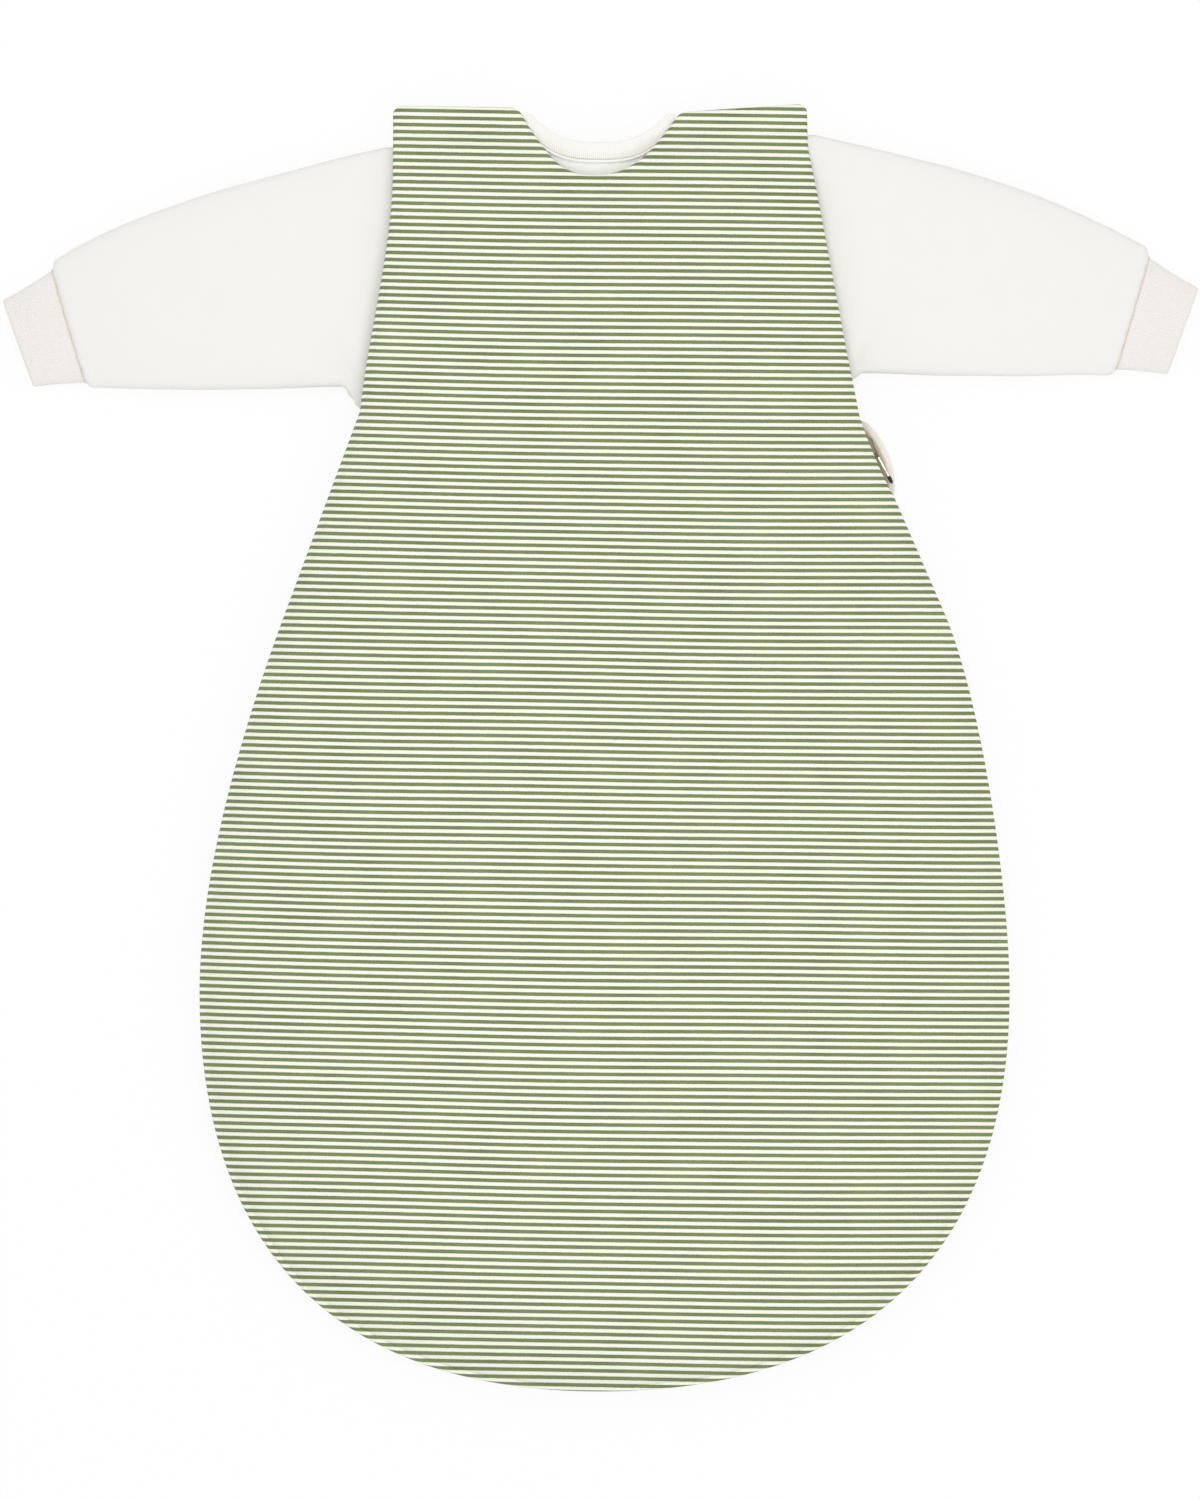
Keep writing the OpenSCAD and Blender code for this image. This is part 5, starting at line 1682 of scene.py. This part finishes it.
def inner_folds(x, y, seed):
    """Shallow folds of the loose inner jersey."""
    return np.array([
        0.9 * noise.noise((a / 42 + seed, b / 80, 1.0)) + 0.35 * noise.noise((a / 17, b / 31 + seed, 2.0))
        for a, b in zip(np.ravel(x), np.ravel(y))]).reshape(np.shape(x))


def inner_rows(foot, hem_rows, side_rows):
    """Heights of an inner panel's rows, closer together towards the hem."""
    s = np.linspace(0.992, 0, hem_rows)
    return np.concatenate([HIP - s ** 0.7 * (HIP - INNER_HEM), np.linspace(HIP, foot, side_rows)[1:]])


def inner_front_piece(name, side, lift):
    """One front of the inner bag, from its side seam to just past the middle."""
    inset, foot = 0.6, NECK_FOOT - 28
    v = np.linspace(0, 1, 61)
    v = v + 0.06 * np.sin(2 * np.pi * v) / 2
    if side == SEAM:
        v = v[::-1]
    grid = [np.column_stack([mix(-PLACKET_HALF, inner_half(side, y) - inset, v), np.full(len(v), y)])
            for y in inner_rows(foot, 44, 96)]
    for t in np.linspace(0, 1, 12)[1:]:
        x = mix(-PLACKET_HALF, mix(inner_half(side, foot), inner_half(side, INNER_TOP), t) - inset, v)
        grid.append(np.column_stack([x, mix(foot, inner_neck_y(x), t)]))
    local = np.stack(grid)
    x, y = local[..., 0], local[..., 1]
    u = np.clip(x / inner_half(side, y), -1, 1)
    low = np.clip((HIP - y) / (HIP - INNER_HEM), 0, 1)
    r = np.where(y >= HIP, np.abs(u), np.sqrt(u * u * (1 - low * low) + low * low))
    z = inner_front_z(y, r) + lift(x) + neck_lift(x, y) + JERSEY
    calm = ease((x + PLACKET_HALF) / 30 - 0.5) * ease((1 - r) / 0.15) * ease((foot - y) / 30 + 1)
    z = z + inner_folds(x * SIGN[side], y, 2.0 + 3 * side) * calm
    z = z + 0.25 * ease((x + PLACKET_HALF) / 1.5) * (1 - ease((x - PLACKET_HALF + 1.0) / 1.6))
    plan = local * [SIGN[side], 1]
    return cloth_piece(name, np.dstack([plan, z]), plan, JERSEY)


class SLEEPINGBAG_OT_inner_fronts(Operator):
    """Makes the two overlapping fronts of the inner bag"""
    bl_idname = "sleeping_bag.inner_fronts"
    bl_label = "Inner Fronts"

    def execute(self, context):
        under = inner_front_piece("inner_front_below", SEAM, lambda x: 0 * x)
        settle(under, "jersey", "inner_front_under")
        over = inner_front_piece("inner_front_above", ZIP, over_rise)
        settle(over, "jersey", "inner_front_over")
        for piece in (under, over):
            min(flat_area(piece), 0.15)
        return {"FINISHED"}


class SLEEPINGBAG_OT_inner_back(Operator):
    """Makes the back of the inner bag, with its edge rolled over the seam of the neckband"""
    bl_idname = "sleeping_bag.inner_back"
    bl_label = "Inner Back"

    def execute(self, context):
        foot = 285.0                      # from here up the rows follow the neck
        u = across(81)
        grid = []
        for y in inner_rows(foot, 40, 90):
            x = u * np.where(u < 0, inner_half(SEAM, y), inner_half(ZIP, y))
            grid.append(np.column_stack([x, np.full(len(u), y)]))
        for t in np.concatenate([np.linspace(0, 0.86, 12)[1:], np.linspace(0.86, 1, 9)[1:]]):
            half = [mix(inner_half(side, foot), inner_half(side, INNER_TOP), t) for side in (SEAM, ZIP)]
            x = u * np.where(u < 0, *half)
            grid.append(np.column_stack([x, mix(foot, band_seam_y(np.minimum(np.abs(x), BAND_HALF)), t)]))
        plan = np.stack(grid)
        x, y = plan[..., 0], plan[..., 1]
        z = INNER_Z + JERSEY + 0.35 * np.maximum(0, inner_folds(x, y, 5.0)) * ease((300 - y) / 60)
        groove = 0.45 * np.exp(-((band_seam_y(x) - y - 2.2) / 0.6) ** 2)
        z = z + neck_lift(x, y) - (np.abs(x) < 44) * groove
        piece = cloth_piece("inner_back_cloth", np.dstack([plan, z]), plan, JERSEY, 75)
        shift_cloth(piece, neck_pull(*BAND_SHIFT))
        # The whole inner back has the lightened jersey: painted light against the neck opening's shade.
        settle(piece, "pale_jersey", "inner_back")
        min(flat_area(piece), 0.28)
        self.seam()
        return {"FINISHED"}

    def seam(self):
        """The jersey rolled over the neckband's seam, and the thread that shows above it."""
        # The roll has the lightened jersey too: painted light.
        for name, finish, half, shift, lift, wide, tall in (
                ("neck_seam_roll", "pale_jersey", 38.0, -0.7, 0.55, 0.85, 0.7),
                ("neck_seam_thread", "thread", 34.0, 0.35, 0.75, 0.2, 0.2)):
            x = np.linspace(-half, half, 181)
            y = band_seam_y(x) + shift
            ends = np.sqrt(np.clip((half - np.abs(x)) / 1.5, 0.02, 1))
            line = np.column_stack([x, y, INNER_Z + JERSEY + neck_lift(x, y) + lift])
            piece = cord(name, line, wide * ends, tall * ends)
            shift_cloth(piece, neck_pull(*BAND_SHIFT))
            settle(piece, finish)


def cord(name, line, wide, tall, closed=False, up=(0.0, 0.0, 1.0)):
    """A soft cord along a line in millimetres: its half width and half height may change along it."""
    if closed:
        ahead = unit(np.roll(line, -1, axis=0) - np.roll(line, 1, axis=0))
    else:
        ahead = unit(np.gradient(line, axis=0))
    sideways = np.cross(np.broadcast_to(up, ahead.shape), ahead)
    sideways /= np.maximum(np.linalg.norm(sideways, axis=1), 1e-6)[:, None]
    upward = np.cross(ahead, sideways)
    wide, tall = (np.broadcast_to(q, len(line))[:, None] for q in (wide, tall))
    rows = np.stack([line + wide * math.cos(q) * sideways + tall * math.sin(q) * upward
                     for q in np.arange(8) * math.pi / 4], axis=1)
    skin = Skin()
    net = skin.add(rows, rows[..., :2])
    skin.net(net, around=True, along=closed)
    if not closed:
        for loop in (net[0], net[-1]):
            skin.quads(*loop[[[0, 0, 4], [1, 3, 5], [2, 4, 6], [3, 7, 7]]])
    return skin.closed(name, 0.0005, 80)


def rib_band(name, half, foot, height, z):
    """A band of rib: ribs across its width, a folded upper edge, and a gentle roll."""
    cloth = bpy.context.scene.sleeping_bag_cloth
    pitch, relief = 1000 * cloth.rib_pitch, 1000 * cloth.rib_relief
    dense = np.linspace(-half, half, 801)
    run = np.concatenate([[0.0], np.cumsum(np.hypot(np.diff(dense), np.diff(foot(dense))))])
    s = np.linspace(0, run[-1], int(run[-1] / pitch) * 6 + 1)
    x = np.interp(s, run, dense)
    lean = unit(np.stack([-np.gradient(foot(x), x), np.ones_like(x)], axis=1))
    lean = mix(np.array([[0.0, 1.0]]), lean, 0.12)
    lean /= lean[:, 1:2]
    wave = relief * np.cos(2 * np.pi * s / pitch)
    tall = height(x)
    v = np.concatenate([np.linspace(0, 0.93, 14), [0.97, 0.99, 1.0]])
    roll = np.concatenate([np.zeros(14), [0.25, 0.55, 1.0]])
    top_rows, low_rows, cloth_rows = [], [], []
    for share, fall in zip(v, roll):
        plan = np.column_stack([x, foot(x)]) + (share * tall)[:, None] * lean
        bow = 0.5 * math.sin(math.pi * share) ** 0.8
        base = z + neck_lift(plan[:, 0], plan[:, 1])
        top = base + RIB + bow * 0.6 - 0.2 + wave * (1 - 0.7 * fall) - fall * RIB * 0.42
        top_rows.append(np.column_stack([plan, top]))
        low_rows.append(np.column_stack([plan, np.minimum(base + fall * RIB * 0.42, top - 0.1)]))
        cloth_rows.append(np.column_stack([s, share * tall]))
    skin = Skin()
    top = skin.add(np.stack(top_rows), np.stack(cloth_rows))
    low = skin.add(np.stack(low_rows), np.stack(cloth_rows))
    skin.net(top)
    skin.net(low, flip=True)
    at = border(*top.shape)
    skin.strip(top[at], low[at])
    return skin.closed(name, 0.001, 75), (run[-1] * MM, max(10.1, float(np.mean(tall))) * MM)


class SLEEPINGBAG_OT_neckbands(Operator):
    """Makes the ribbed neckband of the inner bag, back and front"""
    bl_idname = "sleeping_bag.neckbands"
    bl_label = "Neckbands"

    def execute(self, context):
        for place, half, seam, height, z in (
                ("back", BAND_HALF + 3.2, band_seam_y, self.back_height, INNER_Z - 0.8),
                ("front", 37.0, inner_neck_y, self.front_height, INNER_Z + JERSEY + 0.7)):
            piece, size = rib_band(f"neckband_rib_{place}", half, lambda x: seam(x) + 0.05, height, z)
            shift_cloth(piece, neck_pull(*BAND_SHIFT))
            # The neckband's finish has painted light and painted shade.
            settle(piece, "neck_rib_painted_light", f"neckband_{place}")
        return {"FINISHED"}

    def back_height(self, x):
        return np.minimum(BAND_HEIGHT + 1.2 * (x / BAND_HALF) ** 2, TOP - 4.4 - band_seam_y(x))

    def front_height(self, x):
        return mix(BAND_HEIGHT, 5.0, np.abs(x) / 37)


# ---- sleeves and cuffs ----

def tube_piece(name, ring_at, shares, wall, relief, length):
    """A closed double-walled tube: outer rows, a rounded mouth, and the inner rows back to the start."""
    rings = [ring_at(t, 0.0) for t in shares]
    outer = np.stack([points for points, _ in rings])
    outer = outer + outward_of(outer) * relief(shares, outer)[..., None]
    inner = np.stack([ring_at(t, wall)[0] for t in shares])
    inner = inner + outward_of(inner) * (relief(shares, outer) * 0.8)[..., None]
    along = unit(outer[-1] - outer[-2])
    mouth = np.stack([mix(outer[-1], inner[-1], a) + along * (wall / 2 * math.sin(math.pi * a))
                      for a in (0.25, 0.5, 0.75)])
    rows = np.concatenate([outer, mouth, inner[::-1], mix(outer[:1], inner[:1], 0.5)])
    cloth = np.concatenate([length, np.repeat(length[-1], 3), length[::-1], length[:1]])
    place = np.dstack(np.broadcast_arrays(rings[0][1], cloth[:, None]))
    skin = Skin()
    skin.net(skin.add(rows, place), around=True, along=True)
    return skin.closed(name, 0.0005, 75)


def cloudy_noise(rows, scales, seed=0.0):
    """Slow noise at each point of a tube."""
    a, b, c = scales
    return np.array([noise.noise((x / a + seed, y / b, z / c)) for x, y, z in rows.reshape(-1, 3)]).reshape(
        rows.shape[:2])


class SLEEPINGBAG_OT_sleeves(Operator):
    """Makes the two long sleeves, from their heads in the armholes to the cuff seams"""
    bl_idname = "sleeping_bag.sleeves"
    bl_label = "Sleeves"

    def execute(self, context):
        shares = np.concatenate([-np.linspace(1, 0, 9)[:-1], 1 - (1 - np.linspace(0, 1, 78)) ** 1.05])
        length = np.where(shares < 0, shares * (SLEEVE_OUT + SLEEVE_IN), shares * SLEEVE_LENGTH)
        for side, name in enumerate(SIDE_NAMES):
            piece = tube_piece(
                f"{name}_sleeve_tube", lambda t, inset: ring(*sleeve_ring(side, t), inset=inset, count=150),
                shares, JERSEY, lambda t, rows: sleeve_folds(t, rows, side), length)
            hinge = next(j for j in frame["joints"] if j["name"] == f"{name}_sleeve_fold")
            axis, middle = Vector(hinge["axis"]), Vector(hinge["pos_m"])
            out = Vector((0, 0, 1)).cross(axis) * SIGN[side]
            out = out if out.x * SIGN[side] > 0 else -out
            bend = ("outer_bag", f"{name}_sleeve", tuple(middle - out * 0.010), tuple(middle + out * 0.016))
            settle(piece, "jersey", f"{name}_sleeve", f"{name}_sleeve_head", bend=bend)
            min(flat_area(piece), 0.0559)
        return {"FINISHED"}


def sleeve_folds(shares, rows, side):
    """Soft hollows along a sleeve, folds that fan out from the underarm, and gathers at the cuff seam."""
    low = flipped(side, root_low(side, 0))
    x, y = rows[..., 0] - low[0], rows[..., 1] - low[1]
    reach = np.hypot(x, y)
    fan = np.sin(np.arctan2(y, x * SIGN[side]) * 9 + 0.7) * np.exp(-reach / 55) * ease(reach / 14)
    slow = cloudy_noise(rows, (38, 52, 30), 4 * side)
    end = np.exp(-(1 - np.maximum(shares, 0)) * 14)[:, None]
    gathers = np.sin(rows[..., 1] / 1.45 + 1.1 * np.sin(rows[..., 1] / 6)) * end * 0.22
    return (0.75 * slow + 0.55 * fan) * ease(shares * 12 + 1)[:, None] + gathers


class SLEEPINGBAG_OT_cuffs(Operator):
    """Makes the two ribbed cuffs and the flat seams that join them to the sleeves"""
    bl_idname = "sleeping_bag.cuffs"
    bl_label = "Cuffs"

    def execute(self, context):
        cloth = context.scene.sleeping_bag_cloth
        pitch, depth = 1000 * cloth.rib_pitch, 1000 * cloth.rib_relief
        shares = np.linspace(0, 1, 26)
        for side, name in enumerate(SIDE_NAMES):
            girth = ring(*cuff_ring(side, 0.6), CUFF_Z, CUFF_H, flat=0.8, edge=0.62)[1][-1]
            ribs = int(girth / pitch)
            count = ribs * 5
            wave = depth * np.cos(2 * np.pi * np.arange(count) * ribs / count)

            def ring_at(t, inset):
                puff = 0.8 * math.sin(math.pi * min(1, t + 0.12))
                return ring(*cuff_ring(side, t), CUFF_Z + 0.1, CUFF_H - 0.6 + puff, inset + 0.3, count)

            def relief(t, rows):
                return wave + 0.25 * cloudy_noise(rows, (16, 16, 12))

            piece = tube_piece(f"{name}_cuff_rib", ring_at, shares, RIB, relief, shares * CUFF_LENGTH)
            settle(piece, "rib", f"{name}_cuff", body=f"{name}_sleeve")
            line = ring(*cuff_ring(side, 0.012), CUFF_Z + 0.1, CUFF_H + 0.1, -0.1, 220)[0]
            twist = 0.21 + 0.04 * np.sin(np.arange(len(line)) * 1.57)
            thread = cord(f"{name}_cuff_seam_thread", line, twist, twist, closed=True)
            settle(thread, "thread", body=f"{name}_sleeve")
        return {"FINISHED"}


# ---- snaps ----

def spun(name, profile):
    """A turned piece: a closed profile of radius and height in millimetres, spun in edit mode."""
    data = bpy.data.meshes.new(name)
    edges = [(k, (k + 1) % len(profile)) for k in range(len(profile))]
    data.from_pydata([(r * MM, 0, z * MM) for r, z in profile], edges, [])
    piece = only(placed(name, data))
    spin_shape(36, 0.005)
    with mesh_of(piece) as mesh:
        bmesh.ops.dissolve_degenerate(mesh, dist=0.001 * MM, edges=mesh.edges)
        bmesh.ops.delete(mesh, geom=[v for v in mesh.verts if not v.link_faces], context="VERTS")
        bmesh.ops.recalc_face_normals(mesh, faces=mesh.faces)
    return piece


def snaps(name, profile, places, finish, node, body="outer_bag"):
    """A row of like snap parts: a turned model copied to points in millimetres, each with its own mesh."""
    model = spun(f"{name}_model", profile)
    parts = [placed(name, model.data.copy()) for _ in places]
    for part, place in zip(parts, places):
        part.data.transform(Matrix.Translation(Vector(place) * MM))
    bpy.data.objects.remove(model)
    piece = joined(parts, name)
    smooth(piece, 40)
    settle(piece, finish, node, body=body)


def socket_profile(r, h):
    return [(r * 0.42, 0.0), (r * 0.78, 0.0), (r * 0.9, h * 0.12), (r, h * 0.42), (r, h - 0.12),
            (r - 0.12, h), (r * 0.7, h), (r * 0.62, h * 0.8), (r * 0.5, h * 0.72), (r * 0.44, h * 0.6),
            (r * 0.42, h * 0.3)]


def stud_profile(r, base, h):
    ball = r * 0.34
    return [(0.0, 0.0), (r - 0.15, 0.0), (r, base * 0.4), (r - 0.1, base * 0.8), (r * 0.8, base),
            (r * 0.5, base * 0.9), (ball * 0.8, base * 1.1), (ball * 0.8, h * 0.6), (ball, h * 0.75),
            (ball * 0.9, h * 0.92), (ball * 0.5, h), (0.0, h)]


def prong_ring_profile(r, h, bore):
    return [(bore, h * 0.2), (bore + 0.2, 0.0), (r - 0.3, 0.0), (r, h * 0.45), (r - 0.15, h),
            (bore + 0.3, h), (bore, h * 0.8)]


STRAP_SNAP_Y, STRAP_SNAP_R = TOP - 11, 5.5
STRAP_SNAP_OUT, STRAP_SNAP_STEP = 4, 15   # how far a pair lies past mid strap, and each snap from its middle
CAP, RING, POST = 0.7, 0.6, 1.5       # thicknesses of a placket snap's parts


def snap_places(sides, z):
    """Where the snaps of some shoulders sit, two on each."""
    places = []
    for side in sides:
        neck = float(neckline_x(STRAP_SNAP_Y, FRONT_NECK_DEPTH))
        middle = (neck + float(half_width(side, STRAP_SNAP_Y))) / 2 + STRAP_SNAP_OUT
        steps = (-STRAP_SNAP_STEP, STRAP_SNAP_STEP)
        places += [(SIGN[side] * (middle + step), STRAP_SNAP_Y, z) for step in steps]
    return places


class SLEEPINGBAG_OT_strap_snaps(Operator):
    """Makes the metal snaps of the shoulders: sockets under the straps, studs and prong rings on the back"""
    bl_idname = "sleeping_bag.strap_snaps"
    bl_label = "Shoulder Snaps"

    def execute(self, context):
        r = STRAP_SNAP_R
        for side, name in enumerate(SIDE_NAMES):
            node = f"strap_snap_sockets_{name}"
            places = snap_places([side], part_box(node)[0].z / MM)
            snaps(f"strap_sockets_{name}", socket_profile(r, 1.9), places, "snap_metal", node,
                  body=f"{name}_strap")
        for name, node, profile in (
                ("strap_studs", "strap_snap_studs", lambda h: stud_profile(r, 0.6, h)),
                ("strap_prong_rings", "strap_snap_rings", lambda h: prong_ring_profile(r, h, r * 0.5))):
            low, high = (v.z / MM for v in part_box(node))
            snaps(name, profile(high - low), snap_places((SEAM, ZIP), low), "snap_metal", node)
        return {"FINISHED"}


class SLEEPINGBAG_OT_placket_snaps(Operator):
    """Makes the four resin snaps of the inner bag: caps, sockets, studs and prong rings"""
    bl_idname = "sleeping_bag.placket_snaps"
    bl_label = "Placket Snaps"

    def execute(self, context):
        r = 4.5
        base = [float(inner_front_z(y, 0.0)) for y in PLACKET_YS]
        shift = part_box("placket_snap_rings")[0].z / MM - (min(base) - RING - CAP)
        cap = [(0.0, 0.0), (r - 0.1, 0.0), (r, 0.15), (r - 0.12, 0.4), (r * 0.72, 0.58), (r * 0.6, 0.5),
               (0.0, 0.42)]
        for kind, node, lift, profile in (
                ("cap", "placket_snap_caps", PLACKET_RISE + JERSEY + CAP, cap),
                ("socket", "placket_snap_sockets", PLACKET_RISE - CAP - POST, socket_profile(r, POST)),
                ("stud", "placket_snap_studs", JERSEY + CAP, stud_profile(r, 0.4, 1.9)),
                ("prong_ring", "placket_snap_rings", -RING - CAP, prong_ring_profile(r, RING, r * 0.45))):
            places = [(0.0, y, b + shift + lift) for y, b in zip(PLACKET_YS, base)]
            snaps(f"placket_{kind}s", profile, places, "resin", node)
        return {"FINISHED"}


# ---- panel and registration ----

STEPS = (
    SLEEPINGBAG_OT_stage,
    SLEEPINGBAG_OT_outer_back,
    SLEEPINGBAG_OT_outer_front,
    SLEEPINGBAG_OT_straps,
    SLEEPINGBAG_OT_side_seam,
    SLEEPINGBAG_OT_zip_tapes,
    SLEEPINGBAG_OT_zip_coils,
    SLEEPINGBAG_OT_zip_stops,
    SLEEPINGBAG_OT_zip_slider,
    SLEEPINGBAG_OT_zip_pull,
    SLEEPINGBAG_OT_zip_garage,
    SLEEPINGBAG_OT_inner_back,
    SLEEPINGBAG_OT_inner_fronts,
    SLEEPINGBAG_OT_neckbands,
    SLEEPINGBAG_OT_sleeves,
    SLEEPINGBAG_OT_cuffs,
    SLEEPINGBAG_OT_strap_snaps,
    SLEEPINGBAG_OT_placket_snaps,
)


class SLEEPINGBAG_PT_main(Panel):
    """Lists the steps that build the sleeping bag"""
    bl_label = "Sleeping Bag"
    bl_idname = "SLEEPINGBAG_PT_main"
    bl_space_type = "VIEW_3D"
    bl_region_type = "UI"
    bl_category = "Sleeping Bag"

    def draw(self, context):
        for group in SETTINGS:
            box = self.layout.box()
            settings = getattr(context.scene, group)
            for name in settings.__annotations__:
                box.prop(settings, name)
        column = self.layout.column()
        for step in STEPS:
            column.operator(step.bl_idname)


SETTINGS = {"sleeping_bag_cloth": SLEEPINGBAG_PG_cloth, "sleeping_bag_zip": SLEEPINGBAG_PG_zip,
            "sleeping_bag_stage": SLEEPINGBAG_PG_stage}
CLASSES = (*SETTINGS.values(), *STEPS, SLEEPINGBAG_PT_main)


def register():
    for cls in CLASSES:
        bpy.utils.register_class(cls)
    for name, group in SETTINGS.items():
        setattr(bpy.types.Scene, name, PointerProperty(type=group))


def unregister():
    for name in reversed(SETTINGS):
        delattr(bpy.types.Scene, name)
    for cls in reversed(CLASSES):
        bpy.utils.unregister_class(cls)


def main():
    register()
    for step in STEPS:
        group, name = step.bl_idname.split(".")
        getattr(getattr(bpy.ops, group), name)()
    bpy.context.view_layer.update()


if __name__ == "__main__":
    main()
